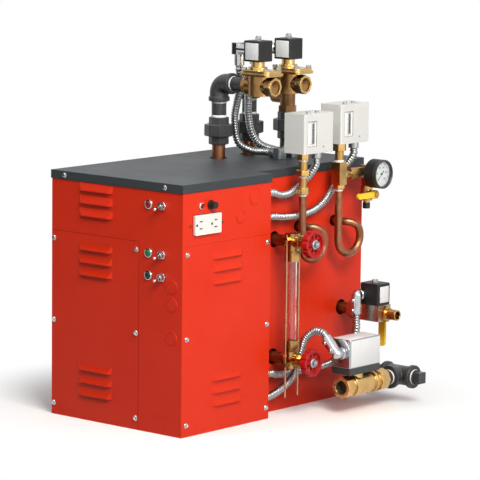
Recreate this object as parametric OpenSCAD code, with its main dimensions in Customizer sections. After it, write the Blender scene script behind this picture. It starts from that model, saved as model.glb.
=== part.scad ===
// Cabinet steam boiler: a sheet-steel cabinet around a steam vessel, with two steam outlet valves and a
// safety valve on top, and the water gauge, pressure controls, feed valve and motorised drain valve on its
// right side. Millimetres, +Z up. The origin is on the floor, at the middle of the cabinet's length and of
// its front width.

/* [Cabinet] */
// Width of the front of the cabinet
cabinet_w = 305; // [290:1:330]
// Overall length from the front face to the back face
cabinet_l = 529; // [515:1:560]
// Height to the top of the covers
cabinet_h = 432; // [425:1:436]
// Length of the control box at the front
control_l = 229; // [224:1:232]
// Step in of the jacket behind the control box, on the right side
step_in = 36; // [34:1:38]
// Thickness of the cabinet sheet
sheet_t = 1.5; // [1.2:0.1:2]
// Depth of the lip that the covers fold down over the panels
cover_lip = 15; // [12:1:20]
// Distance from the front face to the seam between the two covers
cover_seam = 310; // [300:1:320]
// Height of the seam between the control band and the access panels
band_z = 327; // [324:1:330]
// Width of the removable front panel
front_panel_w = 206; // [200:1:212]

/* [Louvres] */
// Width of a louvre
louvre_w = 78; // [70:1:84]
// Distance from one louvre to the next
louvre_pitch = 22; // [20:1:23]
// How far a louvre stands out of its panel
louvre_d = 5; // [3:0.5:6]

/* [Controls] */
// Diameter of a pilot lamp's lens
lamp_d = 13; // [10:1:16]
// Length of a toggle lever from its pivot
lever_l = 16; // [14:1:20]
// Tilt of a toggle lever below the middle
lever_tilt = 14; // [10:1:16]
// Width of the receptacle's face
receptacle_w = 67; // [66:1:72]
// Height of the receptacle's face
receptacle_h = 34; // [32:1:36]

/* [Steam outlets] */
// Outside diameter of the three-quarter inch pipe
pipe_d = 26.7; // [26:0.1:27]
// Outside diameter of a copper stub
stub_d = 24; // [22:0.5:25]
// Distance between the two steam outlets
riser_pitch = 84; // [80:1:88]
// Height of a pipe union
union_h = 49; // [46:1:52]
// Width of a union's nut across its flats
union_nut_af = 49; // [46:1:50]
// Length of the nipple between a union and its elbow
riser_nipple_l = 29; // [27:1:31]
// Distance from the middle of an elbow or tee to its end
fitting_leg = 33; // [32:1:34]
// Length of a steam valve from port to port
steam_valve_l = 69; // [66:1:72]
// Width of a valve coil
coil_w = 38; // [36:1:40]
// Radius of the open threaded ports
port_r = 12.2; // [12:0.1:12.6]

/* [Pressure controls] */
// Distance between the two siphons
siphon_pitch = 101; // [98:1:104]
// Outside diameter of a siphon tube
siphon_d = 13.7; // [12:0.1:14]
// Radius of a siphon's loop at the middle of the tube
siphon_r = 28; // [27:0.5:29]
// Depth of a pressure control's case
control_d = 48; // [46:1:50]
// Width of a pressure control's case
control_w = 80; // [78:1:82]
// Height of a pressure control's case
control_h = 70; // [68:1:72]
// Diameter of the pressure gauge
gauge_d = 52; // [50:1:54]
// Length of the gauge cock's handle beyond its pivot
cock_handle_l = 46; // [40:1:50]

/* [Water gauge] */
// Distance between the two gauge valves
gauge_spacing = 209; // [204:1:212]
// Diameter of the glass tube
glass_d = 16; // [15:0.5:16.5]
// Diameter of a handwheel
wheel_d = 50; // [46:1:52]
// Distance between the two guard rods
rod_spacing = 34; // [33:1:38]
// Diameter of a guard rod
rod_d = 3.5; // [3:0.1:4]

/* [Feed and drain] */
// Length of the feed valve's lever below its pivot
feed_lever_l = 54; // [50:1:58]
// Width of the feed valve's lever
feed_lever_w = 14; // [12:1:15]
// Length of the drain valve from port to end
drain_valve_l = 118; // [114:1:120]
// Length of the drain actuator along the valve
actuator_l = 86; // [80:1:88]
// Width of the drain actuator across the valve
actuator_w = 43; // [40:1:46]
// Outside diameter of a flexible conduit
conduit_d = 14; // [13:0.5:14.5]

/* [Hidden] */
$fn = 48;
clear = 0.3;

// The cabinet's faces
left_x = -cabinet_w / 2;
right_x = cabinet_w / 2;
front_y = -cabinet_l / 2;
back_y = cabinet_l / 2;
step_y = front_y + control_l;
panel_x = right_x - step_in;
top_z = cabinet_h - sheet_t;
seam_y = front_y + cover_seam;
front_panel_x = left_x + front_panel_w;
pan_flange = 25;
fold_w = 12;

// The steam vessel inside the jacket
vessel_x = panel_x - 12;
vessel_top = cabinet_h - 17;
vessel_back = back_y - 6;

// Louvre groups, by the height of the lowest louvre
louvre_rows = 3;
louvre_h = 14;
front_louvre_x = left_x + 105;
side_louvre_y = front_y + control_l / 2 + 1.5;
louvre_low_z = 44;
louvre_mid_z = band_z - 72;
louvre_band_z = cabinet_h - cover_lip - louvre_h - (louvre_rows - 1) * louvre_pitch - 1;

// Lamps and switches
lamp_x = right_x - 76.5;
switch_x = right_x - 44.5;
lamp_zs = [cabinet_h - 39, band_z - 17, band_z - 55.5];
side_lamp_y = front_y + 46;
fuse_y = front_y + 70;
receptacle_y = front_y + 60;
receptacle_z = cabinet_h - 71;
bushing_r = 6;
lever_ball_r = 4.3;
lever_pivot_y = front_y - 5;

// Risers, unions and elbows
riser_x = left_x + 91.5;
riser_y = seam_y + 24.5;
riser_ys = [riser_y, riser_y + riser_pitch];
pipe_r = pipe_d / 2;
union_z = cabinet_h + 25;
union_af = 34;
union_end = 15;
outlet_z = union_z + union_h + riser_nipple_l + fitting_leg;
elbow_bend = 18;
elbow_r = 17;
bead_r = 19;
bead_l = 8;
valve_x0 = riser_x + fitting_leg + 30;
valve_x1 = valve_x0 + steam_valve_l;
valve_mid_x = valve_x1 - 41.5;
valve_af = 32;
bonnet_z = outlet_z + 31;
bonnet_r = 17;
bowl_x = valve_mid_x + 4.5;
bowl_r = 21;
flange_x0 = valve_mid_x - 24;
flange_x1 = valve_x1 + 1;
flange_w = 50;
flange_t = 5;
flange_z = bonnet_z - 12;
steam_coil_z = bonnet_z + 13;
coil_h = 37;
safety_x = riser_x + 25;
safety_y = back_y - 32;
safety_z = union_z + union_h;

// Siphons and pressure controls
siphon_x = panel_x + 33.5;
siphon_y = step_y + 89;
siphon_ys = [siphon_y, siphon_y + siphon_pitch];
siphon_top = cabinet_h - 44;
siphon_loop_z = cabinet_h - 135;
siphon_out = 7;
siphon_back = 28;
siphon_tail = [[4, 43, -4], [-2, 36, -0.5], [-10, 30.5, 0], [-20, siphon_back, 0]];
control_zs = [cabinet_h + 28, cabinet_h + 38];
control_x0 = siphon_x - 28;
control_inlet = 21;
window_w = 24;
window_inset = 13;
slot_w = 8;
manifold_z = siphon_top + 24;
gauge_y = back_y - 30;
gauge_z = manifold_z - 2;
gauge_back_x = siphon_x + 13;
gauge_depth = 26;
dial_inset = 8;
bezel_t = 3;
cock_z = manifold_z - 40;
cock_stem_x = siphon_x + 15;

// Water gauge
glass_x = panel_x + 43.5;
glass_y = step_y + 52.5;
gauge_low_z = 99;
gauge_zs = [gauge_low_z, gauge_low_z + gauge_spacing];
spindle_r = 4;
wheel_x = glass_x + 39;
wheel_t = 12;
rod_low = 33;

// Feed and drain
feed_y = back_y - 56.5;
feed_z = 164;
feed_block_x = panel_x + 55.5;
feed_block_l = 44;
feed_coil_z = feed_z + 15;
feed_pivot = [feed_block_x + 21, feed_y + 18, feed_z - 4];
drain_x = panel_x + 112.5;
drain_y = back_y - 24.5;
drain_z = 50;
drain_af = 37;
tee_r = 17.5;
tee_bead_r = 21;
drain_end_y = drain_y - fitting_leg - 18;
drain_port_y = drain_end_y - drain_valve_l;
actuator_z = drain_z + 24;
actuator_h = 63;
actuator_base_h = 12;
actuator_y = drain_port_y - 2;

// Places where the conduits end
conduit_r = conduit_d / 2;
nut_r = 9.5;
nut_l = 10;
clamp_l = 18;
clamp_w = 20;
exit_x = panel_x + 17.5;
exit_y = step_y + 10;
exit_zs = [cabinet_h - 38, cabinet_h - 80, 74, 34];
control_exits = [[siphon_x - 2, siphon_y + 38.5, control_zs[0] - 12],
  [siphon_x - 2, siphon_ys[1] + 42.5, control_zs[1] - 12]];
cover_exits = [[riser_x + 69, riser_y + 66, cabinet_h + 10],
  [riser_x + 69, riser_y + 102, cabinet_h + 10]];
steam_joint_z = steam_coil_z + 18;
steam_exit_x = valve_mid_x - 61.5;
steam_exit_z = steam_joint_z - 30;
steam_exits = [[steam_exit_x, riser_ys[0] + 21, steam_exit_z], [steam_exit_x, riser_ys[1] - 21, steam_exit_z]];
actuator_joint = [drain_x + 3, actuator_y - 15, actuator_z + 39];
actuator_exit = actuator_joint + [-24, 0, 26];
feed_joint = [feed_block_x + 9, feed_y - 36, feed_coil_z + 18];
feed_exit = feed_joint - [0, 0, 33];

// Routes of the flexible conduits, from points beside the fittings that they pass
riser = [riser_x, riser_y, cabinet_h];
corner = [panel_x, step_y, cabinet_h];
foot = [panel_x, step_y, 0];
top_routes = [
  [steam_exits[0], steam_exits[0] - [0, 0, 9], steam_exits[0] + [-4, 9, -26],
   steam_exits[0] + [-10, 13, -48], riser + [13, 34, 98], riser + [8, 34, 68], riser + [11, 40, 28],
   riser + [27, 56, 12], riser + [49, 66, 10], cover_exits[0]],
  [steam_exits[1], steam_exits[1] - [0, 0, 9], steam_exits[1] + [-3, -8, -26],
   steam_exits[1] + [-6, -10, -50], riser + [22, 55, 98], riser + [22, 56, 75], riser + [26, 61, 44],
   riser + [33, 77, 21], riser + [51, 102, 10], cover_exits[1]]];
side_routes = [
  [corner + [17.5, 10, -38], corner + [17.5, 27.5, -38], corner + [11.5, 55.5, -45],
   corner + [10.5, 81.5, -44], corner + [12.5, 105.5, -32], corner + [22.5, 121.5, -14],
   control_exits[0] - [0, 0, 12], control_exits[0]],
  [corner + [17.5, 10, -80], corner + [17.5, 27.5, -80], corner + [11.5, 65.5, -85],
   corner + [10.5, 105.5, -86], corner + [10.5, 145.5, -81], corner + [10.5, 175.5, -68],
   corner + [10.5, 200.5, -46], control_exits[1] + [-20, -15, -50], control_exits[1] + [-11, -4, -30],
   control_exits[1] - [0, 0, 12], control_exits[1]],
  [foot + [17.5, 10, 74], foot + [17.5, 27.5, 74], foot + [9, 56, 67], foot + [8.5, 96, 65],
   foot + [8.5, 136, 65], feed_joint + [-51, -38, -131], feed_joint + [-42, -19, -125],
   feed_joint + [-25, -4, -109], feed_joint + [-8, 0, -87], feed_exit - [0, 0, 28], feed_exit - [0, 0, 14],
   feed_exit],
  [foot + [17.5, 10, 34], foot + [17.5, 27.5, 34], foot + [21, 58, 46], foot + [26.5, 81.5, 67],
   foot + [33, 89, 105], foot + [42, 90, 129], actuator_exit + [-30, 0.5, 7],
   actuator_exit + [-15, 0, 9], actuator_exit + [-6, 0, 6], actuator_exit]];

// Colours
red_paint = "#d23a28";
cover_paint = "#4c5458";
brass = "#c9a04e";
bronze = "#7a5233";
copper = "#9a5a36";
black_iron = "#37383a";
black_plastic = "#262626";
off_white = "#e6e6e2";
zinc = "#a9b1b2";
yellow = "#e8c62a";
handwheel_red = "#c01f30";

// Box between two corners
module box(a, b) {
  translate(a) cube(b - a);
}

// Cylinders along the three axes, from one end to the other
module x_cyl(x0, x1, y, z, r, sides = $fn) {
  translate([x0, y, z]) rotate([0, 90, 0]) cylinder(r = r, h = x1 - x0, $fn = sides);
}
module y_cyl(y0, y1, x, z, r, sides = $fn) {
  translate([x, y1, z]) rotate([90, 0, 0]) cylinder(r = r, h = y1 - y0, $fn = sides);
}
module z_cyl(z0, z1, x, y, r, sides = $fn) {
  translate([x, y, z0]) cylinder(r = r, h = z1 - z0, $fn = sides);
}

// Radius over the corners of a hexagon or octagon of a given width across flats
function over_corners(af, sides = 6) = af / 2 / cos(180 / sides);

// Rectangle with round corners
module round_rect(a, b, r) {
  translate([a.x + r, a.y]) square([b.x - a.x - 2 * r, b.y - a.y]);
  translate([a.x, a.y + r]) square([b.x - a.x, b.y - a.y - 2 * r]);
  for (x = [a.x + r, b.x - r], y = [a.y + r, b.y - r]) translate([x, y]) circle(r);
}

// Box with round upright edges
module round_box(a, b, r) {
  translate([0, 0, a.z]) linear_extrude(b.z - a.z) round_rect([a.x, a.y], [b.x, b.y], r);
}

// Outline of the cabinet seen from above, set in by i
module outline(i = 0) {
  polygon([[left_x + i, front_y + i], [right_x - i, front_y + i], [right_x - i, step_y - i],
    [panel_x - i, step_y - i], [panel_x - i, back_y - i], [left_x + i, back_y - i]]);
}

// Round tube along a route: a smooth curve joins the points, and rings carry their normal along it
function unit(v) = v / norm(v);
function blend(p0, p1, p2, p3, t) = ((2 * p1) + (p2 - p0) * t + (2 * p0 - 5 * p1 + 4 * p2 - p3) * t * t
  + (3 * p1 - p0 - 3 * p2 + p3) * t * t * t) / 2;
function smooth(p, parts) = let (n = len(p)) [for (i = [0 : n - 2], k = [0 : parts - 1])
  blend(i > 0 ? p[i - 1] : 2 * p[0] - p[1], p[i], p[i + 1], i < n - 2 ? p[i + 2] : 2 * p[n - 1] - p[n - 2],
  k / parts), p[n - 1]];
function directions(p) = let (n = len(p)) [for (i = [0 : n - 1])
  unit(p[min(i + 1, n - 1)] - p[max(i - 1, 0)])];
function carried(v, d) = unit(v - (v * d) * d);
function normals(d) = [for (i = 0, v = carried([0.31, 0.52, 0.79], d[0]); i < len(d);
  i = i + 1, v = i < len(d) ? carried(v, d[i]) : v) v];
module tube(p, d, r, sides = 12) {
  side = normals(d);
  rings = [for (i = [0 : len(p) - 1], k = [0 : sides - 1]) let (a = 360 * k / sides)
    p[i] + r * (cos(a) * side[i] + sin(a) * cross(d[i], side[i]))];
  last = (len(p) - 1) * sides;
  polyhedron(rings, concat(
    [[for (k = [0 : sides - 1]) k]], [[for (k = [sides - 1 : -1 : 0]) last + k]],
    [for (i = [0 : len(p) - 2], k = [0 : sides - 1]) let (m = (k + 1) % sides)
      each [[i * sides + k, (i + 1) * sides + k, (i + 1) * sides + m],
        [i * sides + k, (i + 1) * sides + m, i * sides + m]]]));
}
// A conduit's ends are square to its first and last stretch
module conduit(route) {
  p = smooth(route, 3);
  inner = directions(p);
  n = len(p);
  m = len(route);
  d = [for (i = [0 : n - 1]) i == 0 ? unit(route[1] - route[0])
    : i == n - 1 ? unit(route[m - 1] - route[m - 2]) : inner[i]];
  tube(p, d, conduit_r);
}

// Pressed louvres on the front, standing out of the panel, and their slots
module front_louvres(z0) {
  for (k = [0 : louvre_rows - 1]) translate([front_louvre_x - louvre_w / 2, front_y, z0 + k * louvre_pitch])
    louvre();
}
module front_louvre_slots(z0) {
  for (k = [0 : louvre_rows - 1])
    translate([front_louvre_x - louvre_w / 2 + sheet_t, front_y - 1, z0 + k * louvre_pitch + sheet_t])
      cube([louvre_w - 2 * sheet_t, sheet_t + 2, louvre_h / 2]);
}
// One louvre: a hood that leans out of the panel, open at the bottom
module louvre() {
  translate([louvre_w, 0, 0]) rotate([90, 0, -90]) linear_extrude(louvre_w)
    polygon([[0, louvre_h], [louvre_d, sheet_t], [louvre_d, 0], [louvre_d - sheet_t, 0],
      [0, louvre_h - 2 * sheet_t]]);
}
module side_louvres(z0) {
  for (k = [0 : louvre_rows - 1]) translate([right_x, side_louvre_y - louvre_w / 2, z0 + k * louvre_pitch])
    rotate([0, 0, 90]) louvre();
}
module side_louvre_slots(z0) {
  for (k = [0 : louvre_rows - 1])
    translate([right_x - sheet_t - 1, side_louvre_y - louvre_w / 2 + sheet_t, z0 + k * louvre_pitch + sheet_t])
      cube([sheet_t + 2, louvre_w - 2 * sheet_t, louvre_h / 2]);
}

module base_pan() {
  color(red_paint) {
    linear_extrude(sheet_t) outline(sheet_t);
    linear_extrude(pan_flange) difference() {
      outline(sheet_t);
      outline(2 * sheet_t);
    }
  }
}

// Folded shell of the control box: the band along the top, the fixed strip beside the front panel, the
// rear wall and the folds that the access panels are screwed to
module control_box_shell() {
  color(red_paint) difference() {
    union() {
      box([left_x, front_y, band_z], [right_x, front_y + sheet_t, top_z]);
      box([front_panel_x, front_y, 0], [right_x, front_y + sheet_t, band_z]);
      box([right_x - sheet_t, front_y, band_z], [right_x, step_y, top_z]);
      box([left_x + sheet_t, step_y - sheet_t, pan_flange], [right_x, step_y, top_z]);
      box([panel_x + clear, step_y - sheet_t, 0], [right_x, step_y, pan_flange]);
      front_folds();
      side_folds();
      front_louvres(louvre_band_z);
    }
    front_louvre_slots(louvre_band_z);
    for (z = lamp_zs) {
      y_cyl(front_y - 1, front_y + 2 * sheet_t + 1, lamp_x, z, lamp_d / 2);
      y_cyl(front_y - 1, front_y + 2 * sheet_t + 1, switch_x, z, bushing_r);
    }
    x_cyl(right_x - 3, right_x + 1, side_lamp_y, lamp_zs[0], lamp_d / 3);
    x_cyl(right_x - 3, right_x + 1, fuse_y, lamp_zs[0], bushing_r);
    receptacle_body();
    for (z = exit_zs) y_cyl(step_y - 3, step_y + 1, exit_x, z, conduit_r);
  }
}
module front_folds() {
  y0 = front_y + sheet_t;
  y1 = front_y + 2 * sheet_t;
  box([left_x + sheet_t, y0, band_z - fold_w], [front_panel_x + fold_w, y1, band_z + fold_w]);
  box([left_x + sheet_t, y0, pan_flange], [left_x + sheet_t + fold_w, y1, band_z]);
  box([front_panel_x - fold_w, y0, pan_flange], [front_panel_x + fold_w, y1, band_z]);
}
module side_folds() {
  x0 = right_x - 2 * sheet_t;
  x1 = right_x - sheet_t;
  box([x0, front_y + sheet_t, band_z - fold_w], [x1, step_y - sheet_t, band_z + fold_w]);
  for (y = [front_y + sheet_t, step_y - sheet_t - fold_w])
    box([x0, y, pan_flange], [x1, y + fold_w, band_z]);
}

module front_access_panel() {
  color(red_paint) difference() {
    union() {
      box([left_x, front_y, 0], [front_panel_x - clear, front_y + sheet_t, band_z - clear]);
      front_louvres(louvre_low_z);
      front_louvres(louvre_mid_z);
    }
    front_louvre_slots(louvre_low_z);
    front_louvre_slots(louvre_mid_z);
  }
}

module side_access_panel() {
  color(red_paint) difference() {
    union() {
      box([right_x - sheet_t, front_y + sheet_t, 0], [right_x, step_y - sheet_t, band_z - clear]);
      side_louvres(louvre_low_z);
      side_louvres(louvre_mid_z);
    }
    side_louvre_slots(louvre_low_z);
    side_louvre_slots(louvre_mid_z);
  }
}

module left_side_panel() {
  color(red_paint) box([left_x, front_y + sheet_t, 0], [left_x + sheet_t, back_y - sheet_t, top_z]);
}

module jacket_back_panel() {
  color(red_paint) box([left_x, back_y - sheet_t, 0], [panel_x, back_y, top_z]);
}

// Side of the jacket, with a clearance hole for each pipe that comes out of the vessel
module jacket_side_panel() {
  color(red_paint) difference() {
    box([panel_x - sheet_t, step_y, 0], [panel_x, back_y - sheet_t, top_z]);
    for (z = gauge_zs) panel_hole(glass_y, z, 14);
    for (y = siphon_ys) panel_hole(y + siphon_back, siphon_loop_z + siphon_r, 10);
    panel_hole(feed_y, feed_z, 14);
    panel_hole(drain_y, drain_z, pipe_r + 3);
  }
}
module panel_hole(y, z, r) {
  x_cyl(panel_x - sheet_t - 1, panel_x + 1, y, z, r);
}

// Covers: a sheet with a lip folded down outside the panels
module cover_sheet(y0, y1) {
  lip_gap = 0.2;
  intersection() {
    union() {
      translate([0, 0, top_z]) linear_extrude(sheet_t) outline(-lip_gap - sheet_t);
      translate([0, 0, cabinet_h - cover_lip]) linear_extrude(cover_lip) difference() {
        outline(-lip_gap - sheet_t);
        outline(-lip_gap);
      }
    }
    box([left_x - 10, y0, 0], [right_x + 10, y1, cabinet_h + 10]);
  }
}
module front_cover() {
  color(cover_paint) cover_sheet(front_y - 10, seam_y - clear);
}
module rear_cover() {
  color(cover_paint) difference() {
    cover_sheet(seam_y + clear, back_y + 10);
    for (y = riser_ys) z_cyl(top_z - 1, cabinet_h + 1, riser_x, y, stub_d / 2 + 4);
    z_cyl(top_z - 1, cabinet_h + 1, safety_x, safety_y, pipe_r + 4);
  }
}

// Welded vessel that the pipes screw into
module steam_vessel() {
  color("#7d8083") round_box([left_x + 25, step_y + 14, sheet_t], [vessel_x, vessel_back, vessel_top], 6);
}

// Pilot lamps: a flange, a lens and the barrel behind the panel
module front_lamp(z) {
  y_cyl(front_y - 2, front_y, lamp_x, z, lamp_d / 2 + 2);
  y_cyl(front_y - 8, front_y - 2, lamp_x, z, lamp_d / 2 - 0.5);
  y_cyl(front_y, front_y + 20, lamp_x, z, lamp_d / 2);
}
module red_pilot_lamps() {
  color("#c4161c") {
    front_lamp(lamp_zs[0]);
    x_cyl(right_x, right_x + 2, side_lamp_y, lamp_zs[0], lamp_d / 3 + 1.5);
    x_cyl(right_x + 2, right_x + 6, side_lamp_y, lamp_zs[0], lamp_d / 3);
    x_cyl(right_x - 15, right_x, side_lamp_y, lamp_zs[0], lamp_d / 3);
  }
}
module green_pilot_lamps() {
  color("#2fae5a") for (k = [1, 2]) front_lamp(lamp_zs[k]);
}

// Toggle switches: body and bushing with its nut, and a lever in the bushing's bore
module switch_bodies() {
  color(zinc) for (z = lamp_zs) difference() {
    union() {
      y_cyl(front_y - 3, front_y, switch_x, z, over_corners(14), 6);
      y_cyl(front_y - 9, front_y + 6, switch_x, z, bushing_r);
      box([switch_x - 9, front_y + 6, z - 8], [switch_x + 9, front_y + 30, z + 8]);
    }
    y_cyl(front_y - 10, lever_pivot_y + lever_ball_r + 0.5, switch_x, z, lever_ball_r + clear);
  }
}
module switch_lever(z) {
  color("#d5d8da") translate([switch_x, lever_pivot_y, z]) rotate([90 + lever_tilt, 0, 0]) {
    sphere(lever_ball_r);
    cylinder(r1 = 1.8, r2 = 2.8, h = lever_l);
    translate([0, 0, lever_l]) sphere(2.8);
  }
}
module switch_lever_1() { switch_lever(lamp_zs[0]); }
module switch_lever_2() { switch_lever(lamp_zs[1]); }
module switch_lever_3() { switch_lever(lamp_zs[2]); }

module fuse_holder() {
  color(black_plastic) {
    x_cyl(right_x, right_x + 3, fuse_y, lamp_zs[0], bushing_r + 2);
    x_cyl(right_x + 3, right_x + 13, fuse_y, lamp_zs[0], bushing_r);
    x_cyl(right_x - 30, right_x, fuse_y, lamp_zs[0], bushing_r);
  }
}

// Duplex receptacle, lying on its side, with its slots
module receptacle_body() {
  box([right_x - 30, receptacle_y - receptacle_w / 2 + 4, receptacle_z - 13],
    [right_x + 0.01, receptacle_y + receptacle_w / 2 - 4, receptacle_z + 13]);
}
module receptacle() {
  color(off_white) difference() {
    union() {
      translate([right_x, receptacle_y, receptacle_z]) rotate([90, 0, 90]) linear_extrude(5)
        round_rect([-receptacle_w / 2, -receptacle_h / 2], [receptacle_w / 2, receptacle_h / 2], 2);
      box([right_x - 28, receptacle_y - receptacle_w / 2 + 4, receptacle_z - 13],
        [right_x, receptacle_y + receptacle_w / 2 - 4, receptacle_z + 13]);
    }
    for (s = [-1, 1]) translate([right_x - 8, receptacle_y + s * 19, receptacle_z]) {
      for (z = [-6, 6]) translate([0, -4, z - 1]) cube([14, 8, 2]);
      translate([0, -10, 0]) rotate([0, 90, 0]) cylinder(r = 2.4, h = 14);
    }
  }
}

// Pipework on top
module copper_stubs() {
  color(copper) for (y = riser_ys) z_cyl(vessel_top, union_z, riser_x, y, stub_d / 2);
}
module pipe_union(x, y) {
  nut_top = union_z + union_h - union_end + 2;
  z_cyl(union_z, union_z + union_end, x, y, over_corners(union_af, 8), 8);
  z_cyl(union_z + union_end, nut_top, x, y, over_corners(union_nut_af, 8), 8);
  z_cyl(nut_top, union_z + union_h, x, y, over_corners(union_af, 8), 8);
}
module pipe_unions() {
  color(black_iron) {
    for (y = riser_ys) pipe_union(riser_x, y);
    pipe_union(safety_x, safety_y);
  }
}
module pipe_nipples() {
  color(black_iron) {
    for (y = riser_ys) {
      z_cyl(union_z + union_h, outlet_z - fitting_leg, riser_x, y, pipe_r);
      x_cyl(riser_x + fitting_leg, valve_x0, y, outlet_z, pipe_r);
    }
    z_cyl(vessel_top, union_z, safety_x, safety_y, pipe_r);
    x_cyl(vessel_x, drain_x - fitting_leg, drain_y, drain_z, pipe_r);
    y_cyl(drain_end_y, drain_y - fitting_leg, drain_x, drain_z, pipe_r);
  }
}
module pipe_elbow(y) {
  z_cyl(outlet_z - fitting_leg, outlet_z - elbow_bend, riser_x, y, elbow_r);
  z_cyl(outlet_z - fitting_leg, outlet_z - fitting_leg + bead_l, riser_x, y, bead_r);
  x_cyl(riser_x + elbow_bend, riser_x + fitting_leg, y, outlet_z, elbow_r);
  x_cyl(riser_x + fitting_leg - bead_l, riser_x + fitting_leg, y, outlet_z, bead_r);
  translate([riser_x + elbow_bend, y, outlet_z - elbow_bend]) rotate([90, 0, 0]) rotate([0, 0, 90])
    rotate_extrude(angle = 90) translate([elbow_bend, 0]) circle(elbow_r);
}
module pipe_elbows() {
  color(black_iron) for (y = riser_ys) pipe_elbow(y);
}

// Steam valve: a round bowl, octagon ends, two flange plates and a bonnet, with an open threaded outlet
module steam_valve_bodies() {
  color(brass) for (y = riser_ys) difference() {
    union() {
      x_cyl(valve_x0, valve_x0 + 8, y, outlet_z, over_corners(valve_af, 8), 8);
      x_cyl(valve_x0 + 8, valve_x1 - 14, y, outlet_z, valve_af / 2);
      x_cyl(valve_x1 - 14, valve_x1, y, outlet_z, over_corners(valve_af, 8), 8);
      z_cyl(outlet_z - valve_af / 2 - 1, flange_z, bowl_x, y, bowl_r);
      flange_plate(y, flange_z, 0);
      flange_plate(y, flange_z + flange_t, 2);
      z_cyl(flange_z + 2 * flange_t, bonnet_z + 3, valve_mid_x, y, bonnet_r);
      z_cyl(bonnet_z + 3, steam_coil_z, valve_mid_x, y, 12);
    }
    x_cyl(valve_x1 - 17, valve_x1 + 1, y, outlet_z, port_r);
  }
}
module flange_plate(y, z, inset) {
  round_box([flange_x0 + inset, y - flange_w / 2 + inset, z],
    [flange_x1 - inset, y + flange_w / 2 - inset, z + flange_t], 9);
}
module steam_valve_coils() {
  color(black_plastic) for (y = riser_ys) {
    round_box([valve_mid_x - coil_w / 2, y - coil_w / 2, steam_coil_z],
      [valve_mid_x + coil_w / 2, y + coil_w / 2, steam_coil_z + coil_h], 4);
    z_cyl(steam_coil_z + coil_h, steam_coil_z + coil_h + 8, valve_mid_x, y, 4.5);
  }
}

// Safety valve: a turned body with a side outlet
module safety_valve() {
  z0 = safety_z;
  color(bronze) difference() {
    union() {
      z_cyl(z0, z0 + 11, safety_x, safety_y, over_corners(30), 6);
      z_cyl(z0 + 11, z0 + 50, safety_x, safety_y, 14);
      z_cyl(z0 + 50, z0 + 58, safety_x, safety_y, over_corners(24), 6);
      z_cyl(z0 + 58, z0 + 78, safety_x, safety_y, 9);
      x_cyl(safety_x - 32, safety_x, safety_y, z0 + 28, 13);
    }
    x_cyl(safety_x - 33, safety_x - 18, safety_y, z0 + 28, 9);
  }
}

module top_conduits() {
  color(zinc) for (route = top_routes) conduit(route);
}
module side_conduits() {
  color(zinc) for (route = side_routes) conduit(route);
}

// Angle connectors between a coil or actuator and its conduit
module conduit_elbows() {
  color(zinc) {
    for (k = [0, 1]) steam_connector(riser_ys[k], steam_exits[k], k == 0 ? 1 : -1);
    actuator_connector();
    feed_connector();
  }
}
module steam_connector(y, exit, s) {
  inner = y + s * 6;
  outer = y + s * 32;
  x_cyl(exit.x + 9, valve_mid_x - coil_w / 2, y + s * 10, steam_joint_z, 9);
  round_box([exit.x - 9, min(inner, outer), steam_joint_z - 10],
    [exit.x + 9, max(inner, outer), steam_joint_z + 11], 5);
  z_cyl(exit.z, steam_joint_z - 10, exit.x, exit.y, nut_r);
}
module actuator_connector() {
  j = actuator_joint;
  y_cyl(j.y, actuator_y, j.x, j.z, 9);
  translate(j) sphere(nut_r);
  translate(j) rotate([0, atan2(actuator_exit.x - j.x, actuator_exit.z - j.z), 0])
    cylinder(r = nut_r, h = norm(actuator_exit - j));
}
module feed_connector() {
  j = feed_joint;
  y_cyl(j.y, feed_y - coil_w / 2, j.x, j.z, nut_r);
  translate(j) sphere(nut_r);
  z_cyl(feed_exit.z, j.z, j.x, j.y, nut_r);
}

// Straight connectors where the conduits leave the control box, the controls and the cover
module conduit_connectors() {
  color(zinc) {
    for (z = exit_zs) y_cyl(step_y, exit_y, exit_x, z, 10);
    for (k = [0, 1]) {
      z_cyl(control_exits[k].z, control_zs[k], control_exits[k].x, control_exits[k].y, nut_r);
      e = cover_exits[k];
      x_cyl(e.x, e.x + nut_l, e.y, e.z, nut_r);
      round_box([e.x + nut_l, e.y - clamp_w / 2, cabinet_h],
        [e.x + nut_l + clamp_l, e.y + clamp_w / 2, e.z + clamp_w / 2], 4);
    }
  }
}

// Pigtail siphons: down from the control, round a loop and into the vessel behind the tube
function siphon_route(y) = let (n = 16, top = siphon_loop_z + siphon_r) concat(
  [[siphon_x, y, siphon_top], [siphon_x, y, siphon_loop_z + 20]],
  [for (k = [0 : n - 3]) let (a = 180 + 270 * k / n)
    [siphon_x + siphon_out * (1 - cos(180 * k / n)) / 2, y + siphon_r * (1 + cos(a)),
      siphon_loop_z + siphon_r * sin(a)]],
  [for (d = siphon_tail) [siphon_x, y, top] + d],
  [[panel_x, y + siphon_back, top], [vessel_x, y + siphon_back, top]]);
module siphon_tubes() {
  color(copper) for (y = siphon_ys) {
    p = smooth(siphon_route(y), 2);
    tube(p, directions(p), siphon_d / 2);
  }
}

// Brass fittings between the siphons and the pressure controls
module control_fittings() {
  color(brass) {
    z_cyl(siphon_top, siphon_top + 12, siphon_x, siphon_y, over_corners(22), 6);
    z_cyl(siphon_top + 12, siphon_top + 32, siphon_x, siphon_y, 7);
    z_cyl(siphon_top + 32, siphon_top + 42, siphon_x, siphon_y, over_corners(24), 6);
    z_cyl(siphon_top + 42, siphon_top + 60, siphon_x, siphon_y, 8);
    z_cyl(siphon_top + 60, control_zs[0], siphon_x, siphon_y, over_corners(20), 6);
    z_cyl(siphon_top, manifold_z - 17, siphon_x, siphon_ys[1], over_corners(20), 6);
    z_cyl(manifold_z + 24, control_zs[1] - 14, siphon_x, siphon_ys[1], 8);
    z_cyl(control_zs[1] - 14, control_zs[1], siphon_x, siphon_ys[1], over_corners(22), 6);
  }
}

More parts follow.
